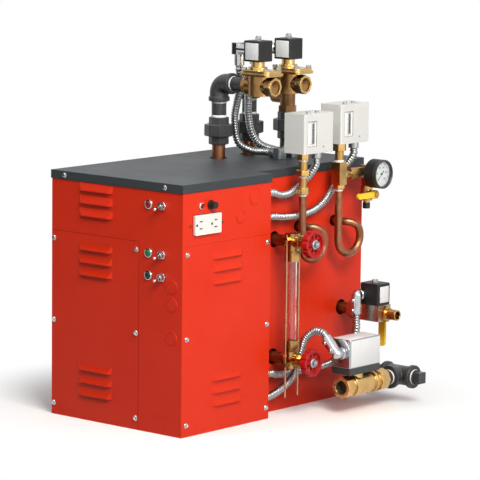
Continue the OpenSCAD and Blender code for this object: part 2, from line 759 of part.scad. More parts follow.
// Pressure control: a case with a scale window in its face and two adjusting screws on top
module pressure_control(y, z) {
  y0 = y - control_inlet;
  x1 = control_x0 + control_d;
  window_y = y0 + 9;
  slot_y = window_y + window_w - slot_w - 3;
  difference() {
    round_box([control_x0, y0, z], [x1, y0 + control_w, z + control_h], 3);
    box([x1 - 2, window_y, z + window_inset], [x1 + 1, window_y + window_w, z + control_h - window_inset]);
    box([x1 - 6, slot_y, z + window_inset + 4], [x1 + 1, slot_y + slot_w, z + control_h - window_inset - 4]);
  }
  for (dy = [26, 50]) z_cyl(z + control_h, z + control_h + 3, x1 - 14, y0 + dy, 3.5);
}
module pressure_controls() {
  color(off_white) for (k = [0, 1]) pressure_control(siphon_ys[k], control_zs[k]);
}

// Gauge manifold: the tee block on the second siphon, a nipple and the tee behind the pressure gauge
module gauge_manifold() {
  y0 = siphon_ys[1];
  color(brass) {
    box([siphon_x - 10, y0 - 10, manifold_z - 17], [siphon_x + 10, y0 + 10, manifold_z + 24]);
    y_cyl(y0 + 10, y0 + 28, siphon_x, manifold_z, 7);
    y_cyl(y0 + 28, gauge_y - 10, siphon_x, manifold_z, over_corners(19), 6);
    box([siphon_x - 10, gauge_y - 10, manifold_z - 12], [siphon_x + 10, gauge_y + 10, manifold_z + 12]);
    x_cyl(siphon_x + 10, gauge_back_x, gauge_y, gauge_z, over_corners(14), 6);
  }
}
module gauge_case() {
  color(black_plastic) translate([gauge_back_x, gauge_y, gauge_z]) rotate([0, 90, 0]) difference() {
    cylinder(d = gauge_d, h = gauge_depth);
    translate([0, 0, gauge_depth - dial_inset]) cylinder(d = gauge_d - 2 * bezel_t, h = dial_inset + 1);
  }
}
module gauge_dial() {
  x = gauge_back_x + gauge_depth - dial_inset;
  color("white") x_cyl(x, x + 1.5, gauge_y, gauge_z, gauge_d / 2 - bezel_t - 0.2);
}

// Gauge cock under the manifold: its body, its stem with a nut, and a drip nozzle
module gauge_cock() {
  color(brass) {
    z_cyl(cock_z + 14, manifold_z - 12, siphon_x, gauge_y, over_corners(18), 6);
    z_cyl(cock_z - 12, cock_z + 14, siphon_x, gauge_y, 11);
    z_cyl(cock_z - 26, cock_z - 12, siphon_x, gauge_y, 6);
    x_cyl(siphon_x, cock_stem_x, gauge_y, cock_z, 6);
    x_cyl(cock_stem_x, cock_stem_x + 10, gauge_y, cock_z, 3);
    x_cyl(cock_stem_x + 7.6, cock_stem_x + 10, gauge_y, cock_z, over_corners(10), 6);
  }
}
module gauge_cock_handle() {
  x0 = cock_stem_x + clear;
  x1 = cock_stem_x + 7.3;
  color(yellow) difference() {
    union() {
      x_cyl(x0, x1, gauge_y, cock_z, 8);
      x_cyl(x0 + 2, x1, gauge_y - cock_handle_l, cock_z, 5);
      box([x0 + 2, gauge_y - cock_handle_l, cock_z - 5], [x1, gauge_y, cock_z + 5]);
    }
    x_cyl(x0 - 1, x1 + 1, gauge_y, cock_z, 3.2);
  }
}

// Nipples between the vessel and the fittings on the side
module brass_nipples() {
  color(bronze) {
    for (z = gauge_zs) x_cyl(vessel_x, glass_x - 17, glass_y, z, 10);
    x_cyl(vessel_x, feed_block_x - 32, feed_y, feed_z, 10);
  }
}

// Water gauge valve: s is 1 for the lower valve, with its packing nut upward, and -1 for the upper one
module water_gauge_valve(z, s) {
  lug_z = z - s * 7;
  difference() {
    union() {
      x_cyl(glass_x - 17, glass_x - 9, glass_y, z, over_corners(24), 6);
      x_cyl(glass_x - 9, glass_x + 18, glass_y, z, 11);
      x_cyl(glass_x + 18, glass_x + 27, glass_y, z, over_corners(19), 6);
      z_cyl(z - 15, z + 15, glass_x, glass_y, 11);
      z_cyl(min(z + s * 15, z + s * 34), max(z + s * 15, z + s * 34), glass_x, glass_y, over_corners(25), 6);
      box([glass_x - 5, glass_y - rod_spacing / 2 - 5, lug_z - 3],
        [glass_x + 5, glass_y + rod_spacing / 2 + 5, lug_z + 3]);
    }
    x_cyl(glass_x + 12, glass_x + 28, glass_y, z, spindle_r + clear);
    z_cyl(min(z + s * 15, z + s * 35), max(z + s * 15, z + s * 35), glass_x, glass_y, glass_d / 2 + clear);
    for (e = [-1, 1]) z_cyl(lug_z - 4, lug_z + 4, glass_x, glass_y + e * rod_spacing / 2, rod_d / 2 + 0.1);
  }
}
module water_gauge_valves() {
  color(brass) {
    water_gauge_valve(gauge_zs[0], 1);
    water_gauge_valve(gauge_zs[1], -1);
  }
}
module gauge_glass() {
  color("#cfe0e6") z_cyl(gauge_zs[0] + 15, gauge_zs[1] - 15, glass_x, glass_y, glass_d / 2);
}
module guard_rods() {
  color(brass) for (e = [-1, 1])
    z_cyl(rod_low, gauge_zs[1] + 14, glass_x, glass_y + e * rod_spacing / 2, rod_d / 2);
}

// Handwheel with its spindle: a scalloped rim, a web with windows between its spokes, and a hub
module handwheel(z) {
  lobes = 10;
  spokes = 8;
  rim = 6.5;
  web = 5;
  r = wheel_d / 2;
  color(handwheel_red) translate([wheel_x, glass_y, z]) rotate([0, 90, 0]) difference() {
    union() {
      difference() {
        cylinder(r = r, h = wheel_t);
        translate([0, 0, -1]) cylinder(r = r - rim, h = wheel_t + 2);
      }
      translate([0, 0, (wheel_t - web) / 2]) cylinder(r = r - rim / 2, h = web);
      cylinder(r = 8, h = wheel_t - 1);
      translate([0, 0, glass_x + 13 - wheel_x]) cylinder(r = spindle_r, h = wheel_x - glass_x - 12);
    }
    for (k = [0 : spokes - 1]) rotate([0, 0, 360 * (k + 0.5) / spokes]) translate([13, 0, -1])
      cylinder(r = 3.4, h = wheel_t + 2);
    for (k = [0 : lobes - 1]) rotate([0, 0, 360 * k / lobes]) translate([r + 1.5, 0, -1])
      cylinder(r = 3.5, h = wheel_t + 2);
  }
}
module handwheel_upper() { handwheel(gauge_zs[1]); }
module handwheel_lower() { handwheel(gauge_zs[0]); }

// Feed valve: hexagon and barrel toward the vessel, a block under the coil, and a pin for its lever
module feed_valve_body() {
  x0 = feed_block_x;
  color(brass) {
    x_cyl(x0 - 32, x0 - 20, feed_y, feed_z, over_corners(30), 6);
    x_cyl(x0 - 20, x0, feed_y, feed_z, 13);
    box([x0, feed_y - 17, feed_z - 14], [x0 + feed_block_l, feed_y + 18, feed_coil_z]);
    y_cyl(feed_y + 18, feed_y + 30, feed_pivot.x, feed_pivot.z, 3);
    y_cyl(feed_y + 27.6, feed_y + 30, feed_pivot.x, feed_pivot.z, over_corners(10), 6);
  }
}
module feed_valve_coil() {
  color(black_plastic) round_box([feed_block_x + 2, feed_y - coil_w / 2, feed_coil_z],
    [feed_block_x + feed_block_l, feed_y + coil_w / 2 - 2, feed_coil_z + coil_h + 2], 4);
}
module feed_inlet_fitting() {
  x0 = feed_block_x + feed_block_l;
  color(brass) difference() {
    union() {
      x_cyl(x0, x0 + 9, feed_y, feed_z, over_corners(25), 6);
      x_cyl(x0 + 9, x0 + 30, feed_y, feed_z, 9.5);
    }
    x_cyl(x0 + 10, x0 + 31, feed_y, feed_z, 7);
  }
}
module feed_valve_lever() {
  y0 = feed_y + 18 + clear;
  y1 = feed_y + 27.3;
  low = feed_pivot.z - feed_lever_l;
  r = feed_lever_w / 2;
  color(yellow) difference() {
    union() {
      y_cyl(y0, y1, feed_pivot.x, feed_pivot.z, 8);
      y_cyl(y0 + 4, y1, feed_pivot.x, low, r);
      box([feed_pivot.x - r, y0 + 4, low], [feed_pivot.x + r, y1, feed_pivot.z]);
    }
    y_cyl(y0 - 1, y1 + 1, feed_pivot.x, feed_pivot.z, 3.2);
  }
}

// Drain: the tee on the vessel's nipple, its plug, the valve and its actuator
module drain_tee() {
  x0 = drain_x - fitting_leg;
  x1 = drain_x + fitting_leg;
  y0 = drain_y - fitting_leg;
  color(black_iron) {
    x_cyl(x0, x1, drain_y, drain_z, tee_r);
    x_cyl(x0, x0 + bead_l, drain_y, drain_z, tee_bead_r);
    x_cyl(x1 - bead_l, x1, drain_y, drain_z, tee_bead_r);
    y_cyl(y0, drain_y, drain_x, drain_z, tee_r);
    y_cyl(y0, y0 + bead_l, drain_x, drain_z, tee_bead_r);
  }
}
module drain_plug() {
  x0 = drain_x + fitting_leg;
  head = 10;
  color(black_iron) {
    x_cyl(x0, x0 + 6, drain_y, drain_z, pipe_r);
    box([x0 + 6, drain_y - head, drain_z - head], [x0 + 18, drain_y + head, drain_z + head]);
  }
}
module drain_valve_body() {
  y0 = drain_port_y;
  y1 = drain_end_y;
  color(brass) difference() {
    union() {
      y_cyl(y0, y0 + 18, drain_x, drain_z, over_corners(drain_af, 8), 8);
      y_cyl(y0 + 18, y1 - 22, drain_x, drain_z, 15.5);
      y_cyl(y0 + 25, y0 + 72, drain_x, drain_z, over_corners(drain_af + 1, 12), 12);
      y_cyl(y0 + 82, y0 + 88, drain_x, drain_z, drain_af / 2);
      y_cyl(y1 - 22, y1, drain_x, drain_z, over_corners(drain_af, 8), 8);
      z_cyl(drain_z, actuator_z, drain_x, y0 + 41, 13);
    }
    y_cyl(y0 - 1, y0 + 17, drain_x, drain_z, port_r);
  }
}
module actuator_base() {
  color("#3a3d40") round_box([drain_x - actuator_w / 2, actuator_y, actuator_z],
    [drain_x + actuator_w / 2, actuator_y + actuator_l, actuator_z + actuator_base_h], 3);
}
module actuator_cover() {
  color("#c3c7c8") round_box([drain_x - actuator_w / 2, actuator_y, actuator_z + actuator_base_h],
    [drain_x + actuator_w / 2, actuator_y + actuator_l, actuator_z + actuator_h], 3);
}

base_pan();
control_box_shell();
front_access_panel();
side_access_panel();
left_side_panel();
jacket_back_panel();
jacket_side_panel();
front_cover();
rear_cover();
steam_vessel();
red_pilot_lamps();
green_pilot_lamps();
switch_bodies();
switch_lever_1();
switch_lever_2();
switch_lever_3();
fuse_holder();
receptacle();
copper_stubs();
pipe_unions();
pipe_nipples();
pipe_elbows();
steam_valve_bodies();
steam_valve_coils();
safety_valve();
top_conduits();
side_conduits();
conduit_elbows();
conduit_connectors();
siphon_tubes();
control_fittings();
pressure_controls();
gauge_manifold();
gauge_case();
gauge_dial();
gauge_cock();
gauge_cock_handle();
brass_nipples();
water_gauge_valves();
gauge_glass();
guard_rods();
handwheel_upper();
handwheel_lower();
feed_valve_body();
feed_valve_coil();
feed_inlet_fitting();
feed_valve_lever();
drain_tee();
drain_plug();
drain_valve_body();
actuator_base();
actuator_cover();
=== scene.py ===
# %% [markdown]
# A cabinet steam boiler, dressed for its portrait. The solid model arrives as a fixed frame, in metres,
# with +Z up.
# Shapes below are in millimetres, so a solid's box is turned into them too.

# %% Load the frame
import math

import bmesh
import bpy
from mathutils import Matrix, Vector


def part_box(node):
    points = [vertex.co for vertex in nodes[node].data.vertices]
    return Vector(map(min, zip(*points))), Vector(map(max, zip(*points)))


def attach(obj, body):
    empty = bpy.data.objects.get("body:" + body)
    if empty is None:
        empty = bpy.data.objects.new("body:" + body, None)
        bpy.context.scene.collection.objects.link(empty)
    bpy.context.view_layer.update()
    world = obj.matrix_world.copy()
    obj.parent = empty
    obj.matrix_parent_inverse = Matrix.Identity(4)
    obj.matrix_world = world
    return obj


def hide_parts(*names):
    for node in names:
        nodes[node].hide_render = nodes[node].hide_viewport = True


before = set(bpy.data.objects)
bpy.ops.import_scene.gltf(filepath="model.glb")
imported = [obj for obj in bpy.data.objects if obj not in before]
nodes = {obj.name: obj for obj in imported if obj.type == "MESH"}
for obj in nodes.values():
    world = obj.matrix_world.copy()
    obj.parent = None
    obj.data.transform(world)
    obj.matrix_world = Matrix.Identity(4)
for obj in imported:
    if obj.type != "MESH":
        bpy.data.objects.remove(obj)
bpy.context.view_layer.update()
MM = 0.001


def box_mm(node):
    return [Vector(corner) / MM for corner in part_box(node)]


print("solids loaded:", len(nodes))

# %% [markdown]
# The camera stands where the photographer stood. Its place was worked out from the corners of the
# cabinet: a long lens about five metres away, a little above the boiler, looking at the corner between
# the front and the right side.

# %% Camera
FRAME_PIXELS = 480
FOCAL_PIXELS = 2977.4
SENSOR_WIDTH = 36
VIEW_AZIMUTH, VIEW_ELEVATION, VIEW_ROLL = (math.radians(a) for a in (40.6045, 8.4352, 0.6652))
VIEW_DISTANCE = 5.3033
AIM_RIGHT, AIM_UP = 0.0406, 0.0791
AIM_HEIGHT = 0.216


def placed(name, data):
    made = bpy.data.objects.new(name, data)
    bpy.context.scene.collection.objects.link(made)
    return made


def place_camera():
    a, e, r = VIEW_AZIMUTH, VIEW_ELEVATION, VIEW_ROLL
    back = Vector((math.sin(a) * math.cos(e), -math.cos(a) * math.cos(e), math.sin(e)))
    level = Vector((math.cos(a), math.sin(a), 0))
    steep = back.cross(level)
    right = level * math.cos(r) + steep * math.sin(r)
    up = steep * math.cos(r) - level * math.sin(r)
    aim = Vector((0, 0, AIM_HEIGHT)) + right * AIM_RIGHT + up * AIM_UP
    camera = placed("camera", bpy.data.cameras.new("camera"))
    turn = Matrix((right, up, back)).transposed().to_4x4()
    camera.matrix_world = Matrix.Translation(aim + back * VIEW_DISTANCE) @ turn
    camera.data.sensor_width = SENSOR_WIDTH
    camera.data.lens = FOCAL_PIXELS / FRAME_PIXELS * SENSOR_WIDTH
    camera.data.clip_end = 100
    bpy.context.scene.camera = camera
    print("lens in millimetres:", round(camera.data.lens, 1))


place_camera()
bpy.context.scene.view_settings.view_transform = "Standard"

# %% [markdown]
# Soft studio light. One broad key lamp stands high, more to the right than the front, so the right side
# is the bright one and each louvre on both sides throws a short shadow down its panel. Three weak lamps
# fill from the right, the front and above. Those on the right are a little warm.

# %% Lamps
WARM, WARMER, PLAIN = (1.0, 0.975, 0.93), (1.0, 0.965, 0.90), (1, 1, 1)


def soft_lamp(name, place, aim_height, size, watts, colour):
    lamp = placed(name, bpy.data.lights.new(name, "AREA"))
    lamp.data.shape = "RECTANGLE"
    lamp.data.size, lamp.data.size_y = size
    lamp.data.energy = watts
    lamp.data.color = colour
    lamp.location = place
    lamp.rotation_mode = "QUATERNION"
    aim = Vector((0, 0, aim_height)) - Vector(place)
    lamp.rotation_quaternion = aim.to_track_quat("-Z", "Y")


soft_lamp("key_softbox", (2.15, -1.2, 2.1), 0.2, (1.4, 1.2), 112, WARM)
soft_lamp("right_softbox", (2.9, 0.0, 0.9), 0.25, (2.0, 1.5), 22, WARMER)
soft_lamp("front_softbox", (-0.5, -1.75, 2.6), 0.2, (0.9, 0.6), 16, PLAIN)
soft_lamp("top_softbox", (0.3, -0.3, 2.8), 0.2, (1.4, 1.4), 10, PLAIN)
print("lamps:", len(bpy.data.lights))

# %% [markdown]
# Shaders are graphs of nodes. These helpers let a graph be written like a sum: a call adds one node and
# fills its sockets, with a link where the value is another node's output. An underscore stands for a
# space in a socket's name. Finishes are kept by name in a dictionary.

# %% Wiring helpers
looks = {}


def feed(tree, node, **sockets):
    for name, value in sockets.items():
        socket = node.inputs[name.replace("_", " ")]
        if isinstance(value, bpy.types.NodeSocket):
            tree.links.new(value, socket)
        else:
            socket.default_value = value


def add(tree, kind, **sockets):
    node = tree.nodes.new("ShaderNode" + kind)
    feed(tree, node, **sockets)
    return node


def combine(tree, operation, first, second):
    node = tree.nodes.new("ShaderNodeMath")
    node.operation = operation
    tree.links.new(first, node.inputs[0])
    tree.links.new(second, node.inputs[1])
    return node.outputs[0]


def blend(tree, share, first, second):
    node = tree.nodes.new("ShaderNodeMix")
    node.data_type = "RGBA"
    feed(tree, node, Factor=share, A=first, B=second)
    return node.outputs["Result"]


def blend_shaders(tree, share, first, second):
    node = tree.nodes.new("ShaderNodeMixShader")
    for socket, source in zip(node.inputs, (share, first.outputs[0], second.outputs[0])):
        tree.links.new(source, socket)
    return node.outputs[0]


def new_finish(name):
    material = bpy.data.materials.new(name)
    material.use_nodes = True
    looks[name] = material
    return material.node_tree, material.node_tree.nodes["Principled BSDF"]


# %% [markdown]
# The world is white to the camera, in glass and in polished metal. To everything else it is a soft sky
# that darkens towards the horizon. A Light Path node tells the rays apart.

# %% World
SKY_STRENGTH = 0.22
HORIZON_GREY, OVERHEAD_GREY = (0.30, 0.31, 0.32, 1), (0.80, 0.81, 0.82, 1)
OVERHEAD_FROM = 0.55


def any_ray(tree, path):
    shown = path.outputs["Is Camera Ray"]
    for kind in ("Is Glossy Ray", "Is Transmission Ray"):
        shown = combine(tree, "MAXIMUM", shown, path.outputs[kind])
    return shown


def studio_world():
    world = bpy.data.worlds.new("studio")
    bpy.context.scene.world = world
    world.use_nodes = True
    tree = world.node_tree
    tree.nodes.clear()
    towards = add(tree, "SeparateXYZ", Vector=add(tree, "TexCoord").outputs["Generated"])
    ramp = add(tree, "ValToRGB", Fac=towards.outputs["Z"])
    low, high = ramp.color_ramp.elements
    low.position, low.color = 0.0, HORIZON_GREY
    high.position, high.color = OVERHEAD_FROM, OVERHEAD_GREY
    sky = add(tree, "Background", Color=ramp.outputs["Color"], Strength=SKY_STRENGTH)
    white = add(tree, "Background", Color=(1, 1, 1, 1))
    shown = any_ray(tree, add(tree, "LightPath"))
    add(tree, "OutputWorld", Surface=blend_shaders(tree, shown, sky, white))


studio_world()
print("world:", bpy.context.scene.world.name)

# %% [markdown]
# Polished metal needs something dark to mirror, or in an all-white studio it looks like paint. So a dark
# card stands to the left, where only mirrors see it.

# %% Dark card
CARD_PLACE, CARD_AIM, CARD_SIZE = Vector((-1.25, -1.45, 0.45)), Vector((0, 0, 0.45)), 1.6


def to_mesh(b, name):
    mesh = bpy.data.meshes.new(name)
    b.to_mesh(mesh)
    b.free()
    return mesh


def stage_sheet(name, half_size, place, look):
    b = bmesh.new()
    bmesh.ops.create_grid(b, x_segments=1, y_segments=1, size=half_size)
    bmesh.ops.transform(b, matrix=place, verts=b.verts)
    sheet = placed(name, to_mesh(b, name))
    sheet.data.materials.append(looks[look])
    return sheet


def dark_card():
    tree, skin = new_finish("card_felt")
    feed(tree, skin, Base_Color=(0.03, 0.03, 0.03, 1), Roughness=1.0)
    turn = (CARD_AIM - CARD_PLACE).to_track_quat("Z", "Y").to_matrix().to_4x4()
    card = stage_sheet("dark_card", CARD_SIZE / 2, Matrix.Translation(CARD_PLACE) @ turn, "card_felt")
    for kind in ("visible_camera", "visible_diffuse", "visible_transmission", "visible_shadow"):
        setattr(card, kind, False)


dark_card()

# %% [markdown]
# The floor is a pale sheet that carries the boiler's shadow. Far from the boiler it fades to plain white
# for the camera, as a paper sweep does. It sends less light back up than it shows, or the shadow under
# each louvre and valve would be filled from below.

# %% Floor
FLOOR_HALF_SIZE = 40
FADE_FROM, FADE_TO = 0.26, 0.52
PAPER_SHOWN, PAPER_BOUNCE = (0.86, 0.86, 0.86, 1), (0.30, 0.30, 0.30, 1)


def pale_floor():
    tree, paper = new_finish("floor_paper")
    path = add(tree, "LightPath")
    tone = blend(tree, path.outputs["Is Diffuse Ray"], PAPER_SHOWN, PAPER_BOUNCE)
    feed(tree, paper, Base_Color=tone, Roughness=0.9)
    reach = tree.nodes.new("ShaderNodeVectorMath")
    reach.operation = "LENGTH"
    tree.links.new(add(tree, "TexCoord").outputs["Object"], reach.inputs[0])
    fade = add(tree, "MapRange", Value=reach.outputs["Value"], From_Min=FADE_FROM, From_Max=FADE_TO)
    fade.interpolation_type = "SMOOTHSTEP"
    share = combine(tree, "MULTIPLY", fade.outputs["Result"], any_ray(tree, path))
    white = add(tree, "Emission")
    feed(tree, tree.nodes["Material Output"], Surface=blend_shaders(tree, share, paper, white))
    stage_sheet("floor", FLOOR_HALF_SIZE, Matrix(), "floor_paper")


pale_floor()

# %% [markdown]
# Two effects come back in almost every finish, so each is a node group. One gives blotches, slow changes
# over a few centimetres, and grain, a fine unevenness. The other lays dust where a surface faces up.

# %% Shared effects
def effect(name, inputs, outputs):
    tree = bpy.data.node_groups.new(name, "ShaderNodeTree")
    for label, value in inputs:
        socket = tree.interface.new_socket(label, in_out="INPUT", socket_type="NodeSocketFloat")
        socket.default_value = value
    for label in outputs:
        tree.interface.new_socket(label, in_out="OUTPUT", socket_type="NodeSocketFloat")
    return tree, tree.nodes.new("NodeGroupInput"), tree.nodes.new("NodeGroupOutput")


def uneven_effect():
    scales = [("Blotch Scale", 20), ("Grain Scale", 900)]
    tree, given, made = effect("uneven", scales, ["Blotch", "Grain"])
    place = add(tree, "TexCoord").outputs["Object"]
    for label, detail, rough in (("Blotch", 6, 0.62), ("Grain", 3, 0.55)):
        scale = given.outputs[label + " Scale"]
        noise = add(tree, "TexNoise", Vector=place, Scale=scale, Detail=detail, Roughness=rough)
        spread = add(tree, "MapRange", Value=noise.outputs["Fac"], From_Min=0.3, From_Max=0.7)
        tree.links.new(spread.outputs["Result"], made.inputs[label])
    return tree


def dust_effect():
    tree, given, made = effect("dust", [("Amount", 0.3)], ["Mask"])
    normal = add(tree, "SeparateXYZ", Vector=add(tree, "NewGeometry").outputs["Normal"])
    upward = add(tree, "MapRange", Value=normal.outputs["Z"], From_Min=0.5, From_Max=1.0)
    noise = add(tree, "TexNoise", Vector=add(tree, "TexCoord").outputs["Object"], Scale=14, Detail=8)
    lumps = combine(tree, "MULTIPLY", upward.outputs["Result"], noise.outputs["Fac"])
    feed(tree, made, Mask=combine(tree, "MULTIPLY", lumps, given.outputs["Amount"]))
    return tree


uneven = uneven_effect()
dust = dust_effect()
print("effects:", uneven.name, dust.name)

# %% [markdown]
# A finish is one Principled shader with a colour that drifts between two tones, a roughness that drifts
# with it and a fine bump. Paint, metal and plastic are the same recipe with different numbers: what tells
# them apart is how fast the tones change, how deep the grain is and how sharp the shine.

# %% The recipe for a finish
DUST_GREY = (0.42, 0.42, 0.41, 1)


def use(tree, group, **sockets):
    node = tree.nodes.new("ShaderNodeGroup")
    node.node_tree = group
    feed(tree, node, **sockets)
    return node


def grain_bump(tree, drift, depth, height):
    bump = add(tree, "Bump", Strength=depth, Distance=height, Height=drift.outputs["Grain"])
    return bump.outputs["Normal"]


def finish(name, light, dark, shine, metal=0.0, blotch=20, grain=900, depth=0.1, height=0.00005, dusty=0.0,
           specular=0.5):
    tree, skin = new_finish(name)
    drift = use(tree, uneven, Blotch_Scale=blotch, Grain_Scale=grain)
    tone = blend(tree, drift.outputs["Blotch"], (*light, 1), (*dark, 1))
    if dusty:
        veil = use(tree, dust, Amount=dusty)
        tone = blend(tree, veil.outputs["Mask"], tone, DUST_GREY)
    gloss = add(tree, "MapRange", Value=drift.outputs["Blotch"], To_Min=shine[0], To_Max=shine[1])
    feed(tree, skin, Base_Color=tone, Metallic=metal, Specular_IOR_Level=specular,
         Roughness=gloss.outputs["Result"], Normal=grain_bump(tree, drift, depth, height))


# %% [markdown]
# The cabinet is sprayed enamel: red on the panels and slate on the cover, with the faint orange-peel
# grain that spraying leaves. The gaps between panels are the same red in shade. The pressure controls are
# ivory, and the handwheels a deeper red.

# %% Enamels
SPRAYED = dict(grain=420, depth=0.25, height=0.00012)
finish("red_enamel", (0.62, 0.024, 0.003), (0.58, 0.020, 0.002), (0.36, 0.46), blotch=9, specular=0.26,
       **SPRAYED)
finish("slate_enamel", (0.034, 0.041, 0.046), (0.030, 0.036, 0.041), (0.46, 0.54), blotch=8, dusty=0.05,
       specular=0.22, **SPRAYED)
finish("gap_shade", (0.26, 0.016, 0.006), (0.22, 0.012, 0.004), (0.6, 0.7), blotch=60, specular=0.1)
finish("ivory_enamel", (0.60, 0.60, 0.58), (0.57, 0.57, 0.55), (0.32, 0.42), blotch=18, grain=500,
       depth=0.2, dusty=0.1)
finish("wheel_enamel", (0.42, 0.008, 0.008), (0.30, 0.006, 0.006), (0.30, 0.42), blotch=60, grain=700,
       depth=0.3, height=0.0001, specular=0.3)
finish("dark_enamel", (0.030, 0.032, 0.035), (0.020, 0.021, 0.023), (0.35, 0.5), blotch=40, grain=600)
finish("dial_enamel", (0.84, 0.84, 0.82), (0.80, 0.80, 0.78), (0.35, 0.45), blotch=40, grain=1500)

# %% [markdown]
# Brass, bronze and copper differ in tone and in how they were worked. A casting has a coarse grain and a
# broad shine, a turned fitting a finer grain and a sharper shine, and old copper is blotched by heat.
# Inside a port the metal lies in shade, so the two linings are not metallic at all: their colours are
# painted shade.

# %% Brass, bronze and copper
CAST = dict(metal=1.0, blotch=45, grain=1400, depth=0.3, height=0.0001)
finish("cast_brass", (0.72, 0.48, 0.19), (0.54, 0.34, 0.13), (0.22, 0.38), **CAST)
# Painted shade: the steam valve bodies' darker brass is partly a duller cast metal and partly the shade under
# their flanges.
finish("dull_and_shaded_brass", (0.40, 0.23, 0.085), (0.25, 0.135, 0.05), (0.22, 0.38), **CAST)
finish("turned_brass", (0.57, 0.36, 0.13), (0.40, 0.24, 0.08), (0.18, 0.32), metal=1.0, blotch=60,
       grain=2500, depth=0.12)
finish("plated_brass", (0.46, 0.43, 0.38), (0.34, 0.31, 0.27), (0.20, 0.34), metal=1.0, blotch=60,
       grain=1600, depth=0.12)
finish("aged_bronze", (0.27, 0.14, 0.06), (0.15, 0.078, 0.036), (0.34, 0.52), metal=1.0, blotch=55,
       grain=1300, depth=0.3, height=0.0001)
finish("aged_copper", (0.40, 0.165, 0.08), (0.20, 0.083, 0.044), (0.28, 0.46), metal=1.0, blotch=60,
       grain=1600, depth=0.15)
finish("rod_copper", (0.62, 0.34, 0.19), (0.46, 0.23, 0.12), (0.20, 0.34), metal=1.0, blotch=60, grain=1800)
# Painted shade: the colours of the two port linings stand in for the shade inside the ports.
finish("port_shade_brass", (0.34, 0.19, 0.08), (0.22, 0.12, 0.05), (0.4, 0.6), blotch=90)
finish("shaded_bronze", (0.050, 0.030, 0.015), (0.030, 0.018, 0.010), (0.5, 0.7), blotch=90)

# %% [markdown]
# The grey metals: black malleable iron for the pipe fittings, zinc on the conduit parts, nickel on screws
# and switches, bare sheet for the drain valve's actuator, and steel for the vessel and the conduit strip.

# %% Iron, steel, zinc and nickel
finish("black_iron", (0.056, 0.056, 0.059), (0.030, 0.030, 0.032), (0.32, 0.50), metal=0.35, blotch=70,
       depth=0.4, height=0.0002, dusty=0.12)
finish("tank_steel", (0.30, 0.30, 0.31), (0.20, 0.20, 0.21), (0.4, 0.6), metal=1.0)
finish("sheet_steel", (0.52, 0.53, 0.54), (0.44, 0.45, 0.46), (0.16, 0.24), metal=1.0, blotch=14,
       grain=1500, depth=0.04)
finish("conduit_steel", (0.42, 0.43, 0.44), (0.30, 0.31, 0.32), (0.20, 0.30), metal=1.0, blotch=60,
       grain=1500, depth=0.05)
finish("bright_zinc", (0.46, 0.49, 0.50), (0.33, 0.355, 0.365), (0.22, 0.40), metal=1.0, blotch=90,
       grain=1800, depth=0.2)
finish("nickel_plate", (0.62, 0.63, 0.64), (0.48, 0.49, 0.50), (0.10, 0.20), metal=1.0, blotch=80,
       grain=2200, depth=0.05)

# %% [markdown]
# Mouldings, vinyl grips, sealing tape and plain plates are soft or matt. The lamp lenses are moulded in a
# colour so deep that they read as solid, so they are finishes too, smooth ones with little shine.

# %% Plastics, tape and lenses
finish("black_moulding", (0.012, 0.0115, 0.0115), (0.008, 0.008, 0.008), (0.42, 0.55), blotch=40,
       grain=1800, depth=0.35, height=0.00008, specular=0.3)
finish("white_moulding", (0.72, 0.70, 0.66), (0.68, 0.66, 0.62), (0.28, 0.36), blotch=30, grain=1500)
finish("grey_moulding", (0.24, 0.24, 0.245), (0.20, 0.20, 0.205), (0.4, 0.5), blotch=60, grain=1500)
finish("yellow_vinyl", (0.86, 0.60, 0.025), (0.78, 0.50, 0.02), (0.34, 0.46), blotch=60, depth=0.3,
       height=0.0001)
finish("sealing_tape", (0.86, 0.86, 0.84), (0.74, 0.74, 0.72), (0.4, 0.6), blotch=260, grain=1500,
       depth=0.5, height=0.0002)
finish("plate_paper", (0.68, 0.68, 0.69), (0.65, 0.65, 0.66), (0.32, 0.46), blotch=30, grain=700)
LENS = dict(shine=(0.12, 0.2), blotch=200, specular=0.25)
finish("red_lens", (0.26, 0.004, 0.006), (0.20, 0.003, 0.005), **LENS)
finish("lit_green_lens", (0.008, 0.18, 0.04), (0.006, 0.13, 0.03), **LENS)
finish("dark_green_lens", (0.005, 0.032, 0.014), (0.004, 0.025, 0.010), **LENS)

# %% [markdown]
# Glass lets light through, so it is a shader of its own, with a faint ripple as drawn glass has.

# %% Glass
def clear(name, colour, rough, ior):
    tree, skin = new_finish(name)
    drift = use(tree, uneven, Grain_Scale=240)
    feed(tree, skin, Base_Color=(*colour, 1), Roughness=rough, IOR=ior, Transmission_Weight=1.0,
         Normal=grain_bump(tree, drift, 0.02, 0.00003))


clear("clear_glass", (0.96, 0.98, 0.98), 0.03, 1.47)
print("finishes in all:", len(looks))

# %% [markdown]
# Most solids have the right shape already and only want their edges broken: no real edge is perfectly
# sharp, and it is the edge that catches the light. In a copy, the triangles are merged, flat neighbours
# are dissolved into larger faces, and a small bevel runs along every sharp edge. The plain panels come
# first.

# %% Soft edges
FLAT_WITHIN, BEVEL_FROM = 0.5, 35
MERGE_WITHIN = 0.000002


def piece(name, mesh, look, body="boiler", replaced=None):
    made = placed(name, mesh)
    mesh.materials.clear()
    mesh.materials.append(looks[look])
    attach(made, body)
    if replaced:
        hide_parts(replaced)
    return made


def smooth_mesh(b, name, crease):
    for face in b.faces:
        face.smooth = True
    mesh = to_mesh(b, name)
    mesh.set_sharp_from_angle(angle=math.radians(crease))
    return mesh


